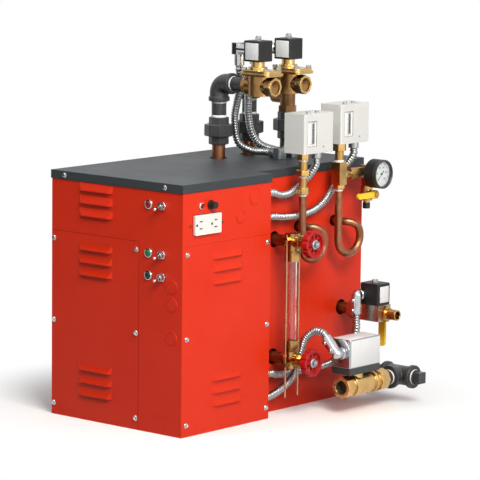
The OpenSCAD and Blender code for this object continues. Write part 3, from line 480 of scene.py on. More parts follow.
def soften(node, look, edge, body="boiler", crease=180, reshape=None, suffix="_finished"):
    b = bmesh.new()
    b.from_mesh(nodes[node].data)
    bmesh.ops.remove_doubles(b, verts=b.verts, dist=MERGE_WITHIN)
    if reshape:
        reshape(b)
    bmesh.ops.dissolve_limit(b, angle_limit=math.radians(FLAT_WITHIN), verts=b.verts, edges=b.edges)
    mesh = smooth_mesh(b, node + suffix, crease)
    made = piece(node + suffix, mesh, look, body, node)
    bevel = made.modifiers.new("broken_edge", "BEVEL")
    bevel.width = edge * MM
    bevel.segments = 2
    bevel.limit_method = "ANGLE"
    bevel.angle_limit = math.radians(BEVEL_FROM)
    level = made.modifiers.new("flat_faces", "WEIGHTED_NORMAL")
    level.mode = "FACE_AREA"
    level.weight = 80
    level.keep_sharp = True


PANEL_EDGE, PANEL_CREASE = 0.4, 12
for node in ("base_pan", "left_side_panel", "jacket_back_panel", "jacket_side_panel"):
    soften(node, "red_enamel", PANEL_EDGE, crease=PANEL_CREASE)

# %% [markdown]
# A louvre is pressed out of the sheet, so its two ends lean in. The solid's louvres have square ends. In
# the copy, each corner that stands out is moved inwards along the louvre, by more the further it stands
# out. The cover's two sheets only need soft edges.

# %% Panels with louvres, and the cover
COVER_EDGE = 0.7
LOUVRE_WIDTH, LOUVRE_LEAN = 78, 1.7
FRONT_LOUVRE_X, SIDE_LOUVRE_Y = -47.5, -148.5
UP, DOWN, LEFT, RIGHT = (0, 0, 1), (0, 0, -1), (-1, 0, 0), (1, 0, 0)
FRONT, BACK = (0, -1, 0), (0, 1, 0)
SHEET = 1.5
right_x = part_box("control_box_shell")[1][0] / MM
front_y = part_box("left_side_panel")[0][1] / MM - SHEET


def lean_louvre_ends(b, out, along, face, middle):
    for v in b.verts:
        stands = v.co.dot(Vector(out)) - face * MM
        side = v.co.dot(Vector(along)) - middle * MM
        if stands > 0.3 * MM and abs(abs(side) - LOUVRE_WIDTH / 2 * MM) < MM:
            v.co -= Vector(along) * math.copysign(stands * LOUVRE_LEAN, side)


def lean_front_louvres(b):
    lean_louvre_ends(b, FRONT, RIGHT, -front_y, FRONT_LOUVRE_X)


def lean_side_louvres(b):
    lean_louvre_ends(b, RIGHT, BACK, right_x, SIDE_LOUVRE_Y)


for node in ("control_box_shell", "front_access_panel"):
    soften(node, "red_enamel", PANEL_EDGE, crease=PANEL_CREASE, reshape=lean_front_louvres)
soften("side_access_panel", "red_enamel", PANEL_EDGE, crease=PANEL_CREASE, reshape=lean_side_louvres)
for node in ("front_cover", "rear_cover"):
    soften(node, "slate_enamel", COVER_EDGE, crease=PANEL_CREASE)

# %% [markdown]
# Castings have rounder edges. A steam valve is one solid, bright above its gasket and at its machined
# port, and darker between: partly a duller cast metal, partly painted shade under the flange. So three
# copies are each cut down by a plane or two, and each gets its own metal. The cut is filled again, so
# every part is closed.

# %% Castings
CAST_EDGE, PORT_EDGE = 1.2, 0.6
GASKET_Z, PORT_X = 589.5, 66.5


def cut_away(b, place, outward):
    geometry = b.verts[:] + b.edges[:] + b.faces[:]
    cut = bmesh.ops.bisect_plane(b, geom=geometry, plane_co=Vector(place) * MM, plane_no=outward,
                                 clear_outer=True)["geom_cut"]
    rim = [e for e in cut if isinstance(e, bmesh.types.BMEdge)]
    bmesh.ops.triangle_fill(b, use_beauty=True, use_dissolve=False, edges=rim)
    bmesh.ops.recalc_face_normals(b, faces=b.faces)


def casting_flange(b):
    cut_away(b, (0, 0, GASKET_Z), DOWN)


def casting_body(b):
    cut_away(b, (0, 0, GASKET_Z), UP)
    cut_away(b, (PORT_X, 0, 0), RIGHT)


def casting_ports(b):
    cut_away(b, (0, 0, GASKET_Z), UP)
    cut_away(b, (PORT_X, 0, 0), LEFT)


for node in ("pipe_unions", "pipe_nipples", "pipe_elbows", "drain_tee", "drain_plug"):
    soften(node, "black_iron", CAST_EDGE)
soften("drain_valve_body", "cast_brass", CAST_EDGE)
# The body below the gasket takes the darker brass, which is partly painted shade under the flange.
soften("steam_valve_bodies", "dull_and_shaded_brass", CAST_EDGE, reshape=casting_body)
soften("steam_valve_bodies", "cast_brass", CAST_EDGE, reshape=casting_flange, suffix="_flanges")
soften("steam_valve_bodies", "cast_brass", PORT_EDGE, reshape=casting_ports, suffix="_ports")
soften("feed_valve_body", "plated_brass", CAST_EDGE)

# %% [markdown]
# The remaining solids get an edge that suits each: fine on turned brass and switches, round on mouldings,
# grips and wheels. What moves rides on its own body. Four solids only get a finish.

# %% Small solids
TURNED_EDGE, ROUND_EDGE, FACE_EDGE = 0.5, 2.0, 0.8
OUTLET_EDGE, SWITCH_EDGE, LEVER_EDGE = 0.6, 0.3, 0.2
for node in ("control_fittings", "gauge_manifold", "gauge_cock", "water_gauge_valves", "feed_inlet_fitting"):
    soften(node, "turned_brass", TURNED_EDGE)
for node in ("safety_valve", "brass_nipples"):
    soften(node, "aged_bronze", TURNED_EDGE)
soften("conduit_elbows", "nickel_plate", ROUND_EDGE)
soften("conduit_connectors", "bright_zinc", CAST_EDGE)
soften("actuator_cover", "sheet_steel", CAST_EDGE)
for node in ("steam_valve_coils", "feed_valve_coil"):
    soften(node, "black_moulding", CAST_EDGE)
soften("fuse_holder", "black_moulding", TURNED_EDGE)
soften("gauge_case", "black_moulding", FACE_EDGE)
soften("pressure_controls", "ivory_enamel", ROUND_EDGE)
soften("receptacle", "white_moulding", OUTLET_EDGE)
soften("actuator_base", "dark_enamel", FACE_EDGE)
soften("switch_bodies", "nickel_plate", SWITCH_EDGE)
for number in (1, 2, 3):
    soften(f"switch_lever_{number}", "nickel_plate", LEVER_EDGE, f"toggle_{number}")
soften("gauge_cock_handle", "yellow_vinyl", CAST_EDGE, "cock_handle")
soften("feed_valve_lever", "yellow_vinyl", CAST_EDGE, "feed_lever")
for place in ("upper", "lower"):
    soften(f"handwheel_{place}", "wheel_enamel", CAST_EDGE, f"{place}_handwheel")
for node, look in (("steam_vessel", "tank_steel"), ("copper_stubs", "aged_copper"),
                   ("guard_rods", "rod_copper"), ("gauge_dial", "dial_enamel")):
    nodes[node].data.materials.clear()
    nodes[node].data.materials.append(looks[look])

# %% [markdown]
# Small turned and hexagonal shapes come back all over the boiler, so each has a helper that draws into a
# bmesh. A turned shape is a profile of radii and heights, spun about an axis as on a lathe. A hexagon is
# a circle of six sides, extruded.

# %% Turned and hexagonal shapes
def facing(at, axis):
    return Matrix.Translation(Vector(at) * MM) @ Vector(axis).to_track_quat("Z", "Y").to_matrix().to_4x4()


def merge_into(b, shape, place):
    bmesh.ops.transform(shape, matrix=place, verts=shape.verts)
    loose = to_mesh(shape, "loose_shape")
    b.from_mesh(loose)
    bpy.data.meshes.remove(loose)


def round_off(shape, edges, width):
    bmesh.ops.bevel(shape, geom=edges, offset=width * MM, offset_type="OFFSET", segments=2, profile=0.5,
                    affect="EDGES", material=-1)


def raise_face(shape, faces, by):
    lifted = bmesh.ops.extrude_face_region(shape, geom=faces)["geom"]
    top = [v for v in lifted if isinstance(v, bmesh.types.BMVert)]
    bmesh.ops.translate(shape, vec=Vector(by) * MM, verts=top)
    return top


def turned(b, profile, at, axis, steps=40):
    shape = bmesh.new()
    line = [shape.verts.new((r * MM, 0, h * MM)) for r, h in profile]
    edges = [shape.edges.new(pair) for pair in zip(line, line[1:])]
    bmesh.ops.spin(shape, geom=line + edges, cent=(0, 0, 0), axis=(0, 0, 1), dvec=(0, 0, 0), angle=math.tau,
                   steps=steps, use_merge=True)
    bmesh.ops.remove_doubles(shape, verts=shape.verts, dist=MERGE_WITHIN)
    merge_into(b, shape, facing(at, axis))


def hexagon(b, across, height, at, axis, edge=0.5):
    shape = bmesh.new()
    bmesh.ops.create_circle(shape, cap_ends=True, segments=6, radius=across / math.sqrt(3) * MM)
    top = raise_face(shape, shape.faces[:], (0, 0, height))
    round_off(shape, [e for e in shape.edges if e.verts[0] in top and e.verts[1] in top], edge)
    merge_into(b, shape, facing(at, axis))


def finished(name, b, look, body="boiler", replaced=None, crease=38):
    bmesh.ops.recalc_face_normals(b, faces=b.faces)
    mesh = smooth_mesh(b, name, crease)
    piece(name, mesh, look, body, replaced)
    print(name, "faces:", len(mesh.polygons))


# %% [markdown]
# The cabinet is held together by sheet-metal screws with a hexagon head on a washer. Each one is a turned
# washer with a hexagon and a low button on top, and all of them are one mesh.

# %% Cabinet screws
SCREW_ROWS, COVER_SCREW_Z = (312.5, 168, 20), 424.5
WASHER, HEAD = 1.1, 2.0


def sheet_screw(b, at, axis, size=1.0):
    turned(b, [(0, 0), (4.6 * size, 0), (4.6 * size, 0.5), (4.0 * size, WASHER), (0, WASHER)], at, axis, 24)
    top = Vector(at) + Vector(axis) * WASHER
    hexagon(b, 5.6 * size, HEAD * size, top, axis)
    button = [(0, -0.6), (1.5 * size, -0.5), (2.1 * size, 0.1), (0, 0.1)]
    turned(b, button, top + Vector(axis) * HEAD * size, axis, 16)


def cabinet_screws():
    b = bmesh.new()
    cover_low = box_mm("front_cover")[0]
    for z in SCREW_ROWS:
        for x in (-147.5, 47.5):
            sheet_screw(b, (x, front_y, z), FRONT)
        for y in (-252, -42.5):
            sheet_screw(b, (right_x, y, z), RIGHT)
        for y in (-250, 250):
            sheet_screw(b, (-right_x, y, z), LEFT)
        for x in (-140, 104):
            sheet_screw(b, (x, -front_y, z), BACK)
    for x in (-121, 113):
        sheet_screw(b, (x, cover_low.y, COVER_SCREW_Z), FRONT)
    for y in (-200, 0, 200):
        sheet_screw(b, (cover_low.x, y, COVER_SCREW_Z), LEFT)
    finished("cabinet_screws", b, "nickel_plate")


cabinet_screws()

# %% [markdown]
# The leaning ends of the louvres are closed by cheeks of the same sheet. Each cheek is one face in the
# leaning plane, a hair outside the solid, and is extruded inwards to the thickness of the sheet.

# %% Louvre ends
LOUVRE_RUN, LOUVRE_RISE, LOUVRE_PITCH, LOUVRES_IN_SET = 5, 14, 22, 3
LOUVRE_LIP, CHEEK_OUT, CHEEK_THICK = 1.5, 0.12, 1.2
FRONT_SETS_Z, SIDE_SETS_Z = (44, 255, 358), (44, 255)


def louvre_end(b, corner, out, along):
    shape = bmesh.new()
    foot, o, a, up = Vector(corner), Vector(out), Vector(along), Vector(UP)
    lean = (o * LOUVRE_LEAN + a).normalized()
    crest = foot + (o - a * LOUVRE_LEAN) * LOUVRE_RUN
    outline = (foot, crest, crest + up * LOUVRE_LIP, foot + up * LOUVRE_RISE)
    cheek = shape.faces.new([shape.verts.new((v + lean * CHEEK_OUT) * MM) for v in outline])
    raise_face(shape, [cheek], lean * -CHEEK_THICK)
    merge_into(b, shape, Matrix())


def set_heights(sets):
    return [z + row * LOUVRE_PITCH for z in sets for row in range(LOUVRES_IN_SET)]


def louvre_ends():
    b = bmesh.new()
    for side in (-1, 1):
        reach = side * LOUVRE_WIDTH / 2
        for z in set_heights(FRONT_SETS_Z):
            louvre_end(b, (FRONT_LOUVRE_X + reach, front_y, z), FRONT, (side, 0, 0))
        for z in set_heights(SIDE_SETS_Z):
            louvre_end(b, (right_x, SIDE_LOUVRE_Y + reach, z), RIGHT, (0, side, 0))
    finished("louvre_ends", b, "red_enamel", crease=25)


louvre_ends()

# %% [markdown]
# A plate is a cube whose edges are bevelled. The gaps beside the access panel are dark lines, so each is
# a thin plate in the shaded red. Knock-outs are rings left by the punch: they stand out by less than a
# millimetre, just enough to catch light.

# %% Plates, panel gaps and knock-out rings
def plate(b, size, at, edge=0.3, turn=None):
    shape = bmesh.new()
    bmesh.ops.create_cube(shape, size=1, matrix=Matrix.Diagonal((*(Vector(size) * MM), 1)))
    round_off(shape, shape.edges[:], edge)
    merge_into(b, shape, Matrix.Translation(Vector(at) * MM) @ (turn or Matrix()))


def panel_gaps():
    b = bmesh.new()
    low, high = box_mm("front_access_panel")
    middle = (low + high) / 2
    plate(b, (0.9, 0.3, high.z - low.z), (high.x + 0.4, front_y - 0.02, middle.z), 0.1)
    plate(b, (high.x - low.x, 0.3, 0.7), (middle.x, front_y - 0.02, high.z + 0.3), 0.1)
    finished("panel_gaps", b, "gap_shade")


def knockout(b, at, axis, r):
    turned(b, [(0, 0.8), (r - 1.3, 0.8), (r - 1.0, 0.1), (r - 0.3, 0.1), (r, 0.8), (r + 0.9, 0.8),
               (r + 1.3, 0), (r + 1.3, -0.3), (0, -0.3)], at, axis, 48)


def knockout_rings():
    b = bmesh.new()
    for z in (256.6, 225.5, 168.4):
        knockout(b, (129.4, front_y, z), FRONT, 11)
    knockout(b, (right_x, -78, 396), RIGHT, 14)
    knockout(b, (right_x, -115.5, 365), RIGHT, 11)
    finished("knockout_rings", b, "red_enamel")


panel_gaps()
knockout_rings()

# %% [markdown]
# Flexible conduit is a steel strip wound into a ribbed tube. It is fixed at both ends, so it has one
# route, the same as the solid's. The route's points are joined by a smooth curve, which is stepped along
# evenly, and Blender's curve object carries a round section along it.

# %% A tube along a route
SPANS = 40


def smooth_route(points, step):
    p = [Vector(v) for v in points]
    p = [2 * p[0] - p[1]] + p + [2 * p[-1] - p[-2]]
    fine = []
    for a, b, c, d in zip(p, p[1:], p[2:], p[3:]):
        for k in range(SPANS):
            t = k / SPANS
            fine.append(0.5 * ((2 * b) + (c - a) * t + (2 * a - 5 * b + 4 * c - d) * t * t
                               + (3 * b - a - 3 * c + d) * t * t * t))
    fine.append(p[-2])
    even, left = [fine[0]], step
    for a, b in zip(fine, fine[1:]):
        gap = (b - a).length
        while left <= gap:
            even.append(a.lerp(b, left / gap))
            left += step
        left -= gap
    return even + [fine[-1]]


def as_mesh(name, curve):
    draft = placed(name, curve)
    mesh = bpy.data.meshes.new_from_object(draft.evaluated_get(bpy.context.evaluated_depsgraph_get()))
    bpy.data.objects.remove(draft)
    return mesh


def tube_along(name, routes, step, radius_at, look, replaced, sides):
    data = bpy.data.curves.new(name, "CURVE")
    data.dimensions = "3D"
    data.bevel_depth = MM
    data.bevel_resolution = sides
    data.use_fill_caps = True
    for route in routes:
        points = smooth_route(route, step)
        line = data.splines.new("POLY")
        line.points.add(len(points) - 1)
        for k, (knot, place) in enumerate(zip(line.points, points)):
            knot.co = (*(place * MM), 1)
            knot.radius = radius_at(k * step)
    mesh = as_mesh(name + "_route", data)
    for face in mesh.polygons:
        face.use_smooth = True
    piece(name, mesh, look, replaced=replaced)
    print(name, "faces:", len(mesh.polygons))


# %% [markdown]
# Six conduits run from box to box: two over the cover and four along the right side. The radius falls
# once for each turn of the strip, in a narrow groove between broad ribs. That is real geometry, because a
# bump would leave the outline smooth.

# %% Ribbed conduits
RIB_PITCH, RIB_RADIUS, RIB_DEPTH, RIB_STEP = 4.8, 7.0, 1.9, 0.6


def rib(s):
    phase = (s / RIB_PITCH) % 1.0
    return RIB_RADIUS - RIB_DEPTH * max(0.0, math.cos(math.tau * phase)) ** 4


top_routes = [
    [(-32, 91, 600), (-32, 91, 591), (-36, 100, 574), (-42, 104, 552), (-48, 104, 530), (-53, 104, 500),
     (-50, 110, 460), (-34, 126, 444), (-12, 136, 442), (8, 136, 442)],
    [(-32, 133, 600), (-32, 133, 591), (-35, 125, 574), (-38, 123, 550), (-39, 125, 530), (-39, 126, 507),
     (-35, 131, 476), (-28, 147, 453), (-10, 172, 442), (8, 172, 442)]]
side_routes = [
    [(134, -25.5, 394), (134, -8, 394), (128, 20, 387), (127, 46, 388), (129, 70, 400), (139, 86, 418),
     (148, 92, 436), (148, 92, 448)],
    [(134, -25.5, 352), (134, -8, 352), (128, 30, 347), (127, 70, 346), (127, 110, 351), (127, 140, 364),
     (127, 165, 386), (128, 182, 408), (137, 193, 428), (148, 197, 446), (148, 197, 458)],
    [(134, -25.5, 74), (134, -8, 74), (125.5, 20.5, 67), (125, 60.5, 65), (125, 100.5, 65), (130, 134, 66),
     (139, 153, 72), (156, 168, 88), (173, 172, 110), (181, 172, 136), (181, 172, 150), (181, 172, 164)],
    [(134, -25.5, 34), (134, -8, 34), (137.5, 22.5, 46), (143, 46, 67), (149.5, 53.5, 105),
     (158.5, 54.5, 129), (178, 54.5, 146), (193, 54, 148), (202, 54, 145), (208, 54, 139)]]
for place, routes in (("top", top_routes), ("side", side_routes)):
    tube_along(f"ribbed_{place}_conduits", routes, RIB_STEP, rib, "conduit_steel",
               f"{place}_conduits", 5)

# %% [markdown]
# The two siphons are bent from one length of tube: down, round a loop and into the vessel behind the
# panel. The same route as the solid's is stepped more finely, so the loop is round from close by too.

# %% Siphon tubes
SIPHON_X, SIPHON_Y, SIPHON_RADIUS = 150, (53.5, 154.5), 6.85
SIPHON_TOP, LOOP_Z, LOOP_RADIUS, LOOP_POINTS = 388, 297, 28, 16


def siphon_route(y):
    x, r = SIPHON_X, LOOP_RADIUS
    loop = []
    for k in range(LOOP_POINTS - 2):
        part = k / LOOP_POINTS
        turn = math.pi * (1 + 1.5 * part)
        loop.append((x + 3.5 * (1 - math.cos(math.pi * part)), y + r * (1 + math.cos(turn)),
                     LOOP_Z + r * math.sin(turn)))
    z = LOOP_Z + r
    tail = [(x + 4, y + 43, z - 4), (x - 2, y + 36, z - 0.5), (x - 10, y + 30.5, z), (x - 20, y + r, z),
            (x - 33.5, y + r, z), (x - 45.5, y + r, z)]
    return [(x, y, SIPHON_TOP), (x, y, LOOP_Z + 20)] + loop + tail


def siphon_radius(s):
    return SIPHON_RADIUS


tube_along("bent_siphons", [siphon_route(y) for y in SIPHON_Y], 2.0, siphon_radius, "aged_copper",
           "siphon_tubes", 8)

# %% [markdown]
# Pipe threads are wrapped in white sealing tape before they are screwed up, and a little of it shows at
# each joint. A ring of tape is a turned band with an uneven, rounded profile.

# %% Sealing tape
PIPE_RADIUS, NIPPLE_RADIUS = 13.35, 8.0
STEAM_Y, STEAM_PIPE_X, STEAM_PORT_Z = (70, 154), -61, 568
DRAIN_X, DRAIN_Z, TEE_Y = 229, 50, 240


def tape(b, at, axis, r, width):
    turned(b, [(r - 1, 0), (r + 0.35, 0.05), (r + 0.6, width * 0.3), (r + 0.5, width * 0.75),
               (r + 0.2, width), (r - 1, width), (r - 1, 0)], at, axis, 36)


def sealing_bands():
    b = bmesh.new()
    for y in STEAM_Y:
        tape(b, (STEAM_PIPE_X, y, 506), UP, PIPE_RADIUS, 4.0)
        tape(b, (STEAM_PIPE_X, y, 531.5), UP, PIPE_RADIUS, 3.5)
        tape(b, (-28, y, STEAM_PORT_Z), RIGHT, PIPE_RADIUS, 3.2)
    tape(b, (-36, 232.5, 506), UP, PIPE_RADIUS, 1.2)
    tape(b, (DRAIN_X, 203.5, DRAIN_Z), BACK, PIPE_RADIUS, 3.5)
    tape(b, (192.5, TEE_Y, DRAIN_Z), RIGHT, PIPE_RADIUS, 3.5)
    tape(b, (262, TEE_Y, DRAIN_Z), RIGHT, PIPE_RADIUS, 2.6)
    for y in SIPHON_Y:
        tape(b, (SIPHON_X, y, 384), UP, SIPHON_RADIUS, 4.0)
    near_y, far_y = SIPHON_Y
    tape(b, (SIPHON_X, near_y, 416.5), UP, 7.2, 3.5)
    tape(b, (SIPHON_X, near_y, 446), UP, NIPPLE_RADIUS, 2.0)
    tape(b, (SIPHON_X, far_y, 436), UP, NIPPLE_RADIUS, 3.5)
    tape(b, (SIPHON_X, far_y + 10, 412), BACK, 7.0, 4.5)
    finished("sealing_bands", b, "sealing_tape")


sealing_bands()

# %% [markdown]
# A pilot lamp is a plated bezel around a lens. The lens is turned with two steps, like the moulded rings
# that spread a lamp's light. The lower green one is out, so its lens is dark.

# %% Pilot lamps
FRONT_LENS, SIDE_LENS = 6.2, 4.2
red_lamp, upper_green_lamp, lower_green_lamp = ((76, front_y, z) for z in (393, 310, 271.5))
side_lamp = (right_x, -218.5, 393)


def lens(b, at, axis, r):
    turned(b, [(0, -12), (r, -12), (r, 1.5), (r - 0.7, 3.4), (r - 1.6, 4.4), (r * 0.55, 5.0), (r * 0.45, 4.7),
               (0, 5.4)], at, axis)


def bezel(b, at, axis, r):
    turned(b, [(r + 0.1, -0.5), (r + 2.4, -0.5), (r + 2.4, 1.2), (r + 1.6, 2.6), (r + 0.5, 3.0),
               (r + 0.1, 2.4), (r + 0.1, -0.5)], at, axis)


def pilot_lamps():
    b = bmesh.new()
    lens(b, red_lamp, FRONT, FRONT_LENS)
    lens(b, side_lamp, RIGHT, SIDE_LENS)
    finished("red_lenses", b, "red_lens", replaced="red_pilot_lamps")
    for name, at, look in (("upper_green_lens", upper_green_lamp, "lit_green_lens"),
                           ("lower_green_lens", lower_green_lamp, "dark_green_lens")):
        b = bmesh.new()
        lens(b, at, FRONT, FRONT_LENS)
        finished(name, b, look, replaced="green_pilot_lamps")
    b = bmesh.new()
    for at in (red_lamp, upper_green_lamp, lower_green_lamp):
        bezel(b, at, FRONT, FRONT_LENS)
    bezel(b, side_lamp, RIGHT, SIDE_LENS)
    finished("lamp_bezels", b, "nickel_plate")


pilot_lamps()

# %% [markdown]
# The receptacle's slots would look pale inside, because light bounces in a white moulding, so dark
# plates sit a little way down in each slot and in each ground hole: painted shade for the depth of the
# holes. The hole in the panel is a little larger than the receptacle, and a dark plate behind the
# receptacle shows in it as a dark line at its left and top: painted shade in the gap. Two small screws
# hold its box to the panel.

# %% Receptacle contacts
OUTLET_HALF, SLOT_HALF = 19, 6


def receptacle_details():
    low, high = box_mm("receptacle")
    middle = (low + high) / 2
    b = bmesh.new()
    # Painted shade: a dark plate behind the receptacle shows in the gap round it.
    hole = (0.3, high.y - low.y + 1.6, high.z - low.z + 1.4)
    plate(b, hole, (right_x, middle.y - 0.6, middle.z + 0.5), 0.1)
    # Painted shade: dark plates down in the slots and the ground holes.
    for side in (-OUTLET_HALF, OUTLET_HALF):
        y = middle.y + side
        for z in (middle.z - SLOT_HALF, middle.z + SLOT_HALF):
            plate(b, (1, 7.9, 1.9), (high.x - 0.9, y, z), 0.1)
        ground = (high.x - 1.4, y - 10, middle.z)
        turned(b, [(0, 0), (2.35, 0), (2.35, 0.8), (0, 0.8)], ground, RIGHT, 20)
    finished("receptacle_painted_shade", b, "black_moulding")
    b = bmesh.new()
    for y in (low.y - 7, high.y + 7):
        sheet_screw(b, (right_x, y, middle.z), RIGHT, 0.6)
    finished("receptacle_screws", b, "aged_bronze")


receptacle_details()

# %% [markdown]
# The pressure gauge has a white dial, a ring of ticks, plain numbers and a needle at rest on zero. Ticks
# are thin plates turned about the dial's centre. Numbers are text made into meshes.

# %% Pressure gauge dial
DIAL_START, DIAL_SWEEP, DIAL_TICKS, DIAL_FULL = 225, 270, 50, 100
TICK_RADIUS, NUMBER_RADIUS, NUMBER_SIZE, NUMBER_STEP = 20.6, 12.8, 5.2, 20
DIAL_UPRIGHT = Matrix(((0, 0, 1), (1, 0, 0), (0, 1, 0))).to_4x4()
gauge_low, gauge_high = box_mm("gauge_case")
dial_centre = (gauge_low + gauge_high) / 2
dial_centre.x = box_mm("gauge_dial")[1].x


def on_dial(degrees, radius):
    a = math.radians(degrees)
    return dial_centre + Vector((0, radius * math.cos(a), radius * math.sin(a)))


def dial_turn(degrees):
    return DIAL_UPRIGHT @ Matrix.Rotation(math.radians(degrees), 4, "Z")


def dial_marks():
    b = bmesh.new()
    for k in range(DIAL_TICKS + 1):
        a = DIAL_START - DIAL_SWEEP * k / DIAL_TICKS
        size = (4.2, 0.75, 0.12) if k % 5 == 0 else (2.4, 0.35, 0.12)
        plate(b, size, on_dial(a, TICK_RADIUS - size[0] / 2), 0.03, dial_turn(a))
    finished("dial_marks", b, "black_moulding")


def dial_numbers():
    for value in range(0, DIAL_FULL + 1, NUMBER_STEP):
        a = DIAL_START - DIAL_SWEEP * value / DIAL_FULL
        words = bpy.data.curves.new("dial_number", "FONT")
        words.body = str(value)
        words.size = NUMBER_SIZE * MM
        words.align_x, words.align_y = "CENTER", "CENTER"
        words.extrude = 0.05 * MM
        mesh = as_mesh("dial_number", words)
        mesh.transform(Matrix.Translation(on_dial(a, NUMBER_RADIUS) * MM) @ DIAL_UPRIGHT)
        piece(f"dial_number_{value}", mesh, "black_moulding")


def dial_needle():
    b = bmesh.new()
    turn = dial_turn(DIAL_START)
    lift = Vector((1.0, 0, 0))
    plate(b, (20, 1.1, 0.3), on_dial(DIAL_START, 7) + lift, 0.1, turn)
    plate(b, (6, 2.2, 0.3), on_dial(DIAL_START, -5) + lift, 0.1, turn)
    turned(b, [(0, 0), (2.2, 0), (2.2, 1.4), (1.4, 2.0), (0, 2.0)], dial_centre, RIGHT, 24)
    finished("dial_needle", b, "dark_enamel")


dial_marks()
dial_numbers()
dial_needle()

# %% [markdown]
# A black bezel laps over the case's rim, and the window is a disc of glass just behind its lip.

# %% Gauge bezel and window
def gauge_front():
    r = (gauge_high.y - gauge_low.y) / 2
    b = bmesh.new()
    turned(b, [(r - 3.4, -3), (r - 3.4, -0.4), (r - 2.6, 0.6), (r - 1.2, 0.8), (r - 0.1, 0.1),
               (r + 0.15, -1.5), (r + 0.15, -6), (r - 0.5, -6.4), (r - 3.4, -6.4), (r - 3.4, -3)],
           (gauge_high.x, dial_centre.y, dial_centre.z), RIGHT, 64)
    finished("gauge_bezel", b, "dark_enamel")
    b = bmesh.new()
    turned(b, [(0, 0), (r - 3.3, 0), (r - 3.3, 1.0), (0, 1.0)],
           (gauge_high.x - 2.6, dial_centre.y, dial_centre.z), RIGHT, 64)
    finished("gauge_window", b, "clear_glass")


gauge_front()

# %% [markdown]
# Each pressure control shows a scale beside a slot, and a pointer that the adjusting screw moves. The
# scale is a plate with ticks, the slot has a spindle in it, and a thin frame goes round the window. Two
# screws stand on top.

# %% Pressure control scales
CONTROL_CORNERS = ((32.5, 460), (133.5, 470))
WINDOW_HALF, WINDOW_TALL, FRAME_BAR = 12, 44, 0.7
TICKS_UP = 13
control_face = box_mm("pressure_controls")[1].x


def control_scales():
    paper, ink, grey, metal = (bmesh.new() for _ in range(4))
    for y0, z0 in CONTROL_CORNERS:
        middle, mid_z = y0 + 21, z0 + 35
        plate(paper, (0.5, 12.6, 43.6), (control_face - 1.8, y0 + 15.5, mid_z), 0.1)
        plate(paper, (0.5, 2.8, 43.6), (control_face - 1.8, y0 + 31.5, mid_z), 0.1)
        for k in range(TICKS_UP):
            w = 5 if k % 3 == 0 else 2.8
            plate(ink, (0.2, w, 0.5), (control_face - 1.5, y0 + 21.4 - w / 2, z0 + 17 + 3 * k), 0.04)
        plate(ink, (0.6, 8.4, 37), (control_face - 5.6, y0 + 26, mid_z), 0.1)
        for y, w in ((y0 + 24, 3.4), (y0 + 28.6, 2.2)):
            plate(grey, (0.8, w, 35.6), (control_face - 3, y, mid_z), 0.2)
        plate(metal, (0.8, 9, 1.8), (control_face - 1.2, y0 + 24.4, z0 + 44), 0.3)
        for y in (middle - WINDOW_HALF, middle + WINDOW_HALF):
            plate(grey, (0.5, FRAME_BAR, WINDOW_TALL + FRAME_BAR), (control_face, y, mid_z), 0.1)
        for z in (mid_z - WINDOW_TALL / 2, mid_z + WINDOW_TALL / 2):
            plate(grey, (0.5, 23.2, FRAME_BAR), (control_face, middle, z), 0.1)
        pin = (control_face, y0 + 52, z0 + 11)
        turned(metal, [(0, 0), (2.0, 0), (2.0, 0.7), (1.4, 1.2), (0, 1.3)], pin, RIGHT, 24)
        for y in (y0 + 26, y0 + 50):
            turned(metal, [(0, 0), (3.9, 0), (3.9, 2.6), (3.2, 3.4), (0, 3.4)], (156, y, z0 + 70), UP, 28)
    finished("control_scale_plates", paper, "dial_enamel")
    finished("control_scale_marks", ink, "black_moulding")
    finished("control_window_frames", grey, "grey_moulding")
    finished("control_screws", metal, "bright_zinc")


control_scales()

# %% [markdown]
# The gauge glass is a tube, not a rod: light bends twice in each wall, which gives it two bright edges.
# Its ends are packed in the valves' nuts, so only the length between them shows.

# %% Gauge glass
GLASS_BORE, GLASS_RADIUS = 6.0, 8.0


def gauge_tube():
    low, high = box_mm("gauge_glass")
    tall = high.z - low.z
    b = bmesh.new()
    turned(b, [(GLASS_BORE, 0), (GLASS_RADIUS, 0), (GLASS_RADIUS, tall), (GLASS_BORE, tall), (GLASS_BORE, 0)],
           ((low.x + high.x) / 2, (low.y + high.y) / 2, low.z), UP, 48)
    finished("gauge_tube", b, "clear_glass", replaced="gauge_glass")


gauge_tube()

# %% [markdown]
# Four bolts hold each steam valve's flange, and a plated nut holds each coil. A washer and nut hold each
# handwheel and turn with it.

# %% Bolts and nuts
COIL_X = 29.5
WHEEL_Y, WHEEL_HEIGHTS = 17, (("upper_handwheel", 308), ("lower_handwheel", 99))
coil_low, coil_high = box_mm("steam_valve_coils")
feed_coil_low, feed_coil_high = box_mm("feed_valve_coil")
feed_coil_middle = (feed_coil_low + feed_coil_high) / 2


def coil_nut(b, x, y, z):
    washer = 0.8
    turned(b, [(0, 0), (7, 0), (7, washer), (0, washer)], (x, y, z), UP, 28)
    hexagon(b, 10, 5, (x, y, z + washer), UP)


def valve_bolts():
    b = bmesh.new()
    flange_low, flange_high = box_mm("steam_valve_bodies")
    flange_top, coil_top = coil_low.z - 15, coil_high.z - 8
    for y in STEAM_Y:
        for x in (flange_low.x + 11, flange_high.x - 9):
            for aside in (-17, 17):
                hexagon(b, 8.5, 4.5, (x, y + aside, flange_top), UP)
        coil_nut(b, COIL_X, y, coil_top)
        turned(b, [(0, 0), (4.6, 0), (4.6, 7.4), (3.8, 8.2), (0, 8.2)], (COIL_X, y, coil_top), UP, 24)
    coil_nut(b, feed_coil_middle.x, feed_coil_middle.y, feed_coil_high.z)
    finished("valve_bolts", b, "bright_zinc")


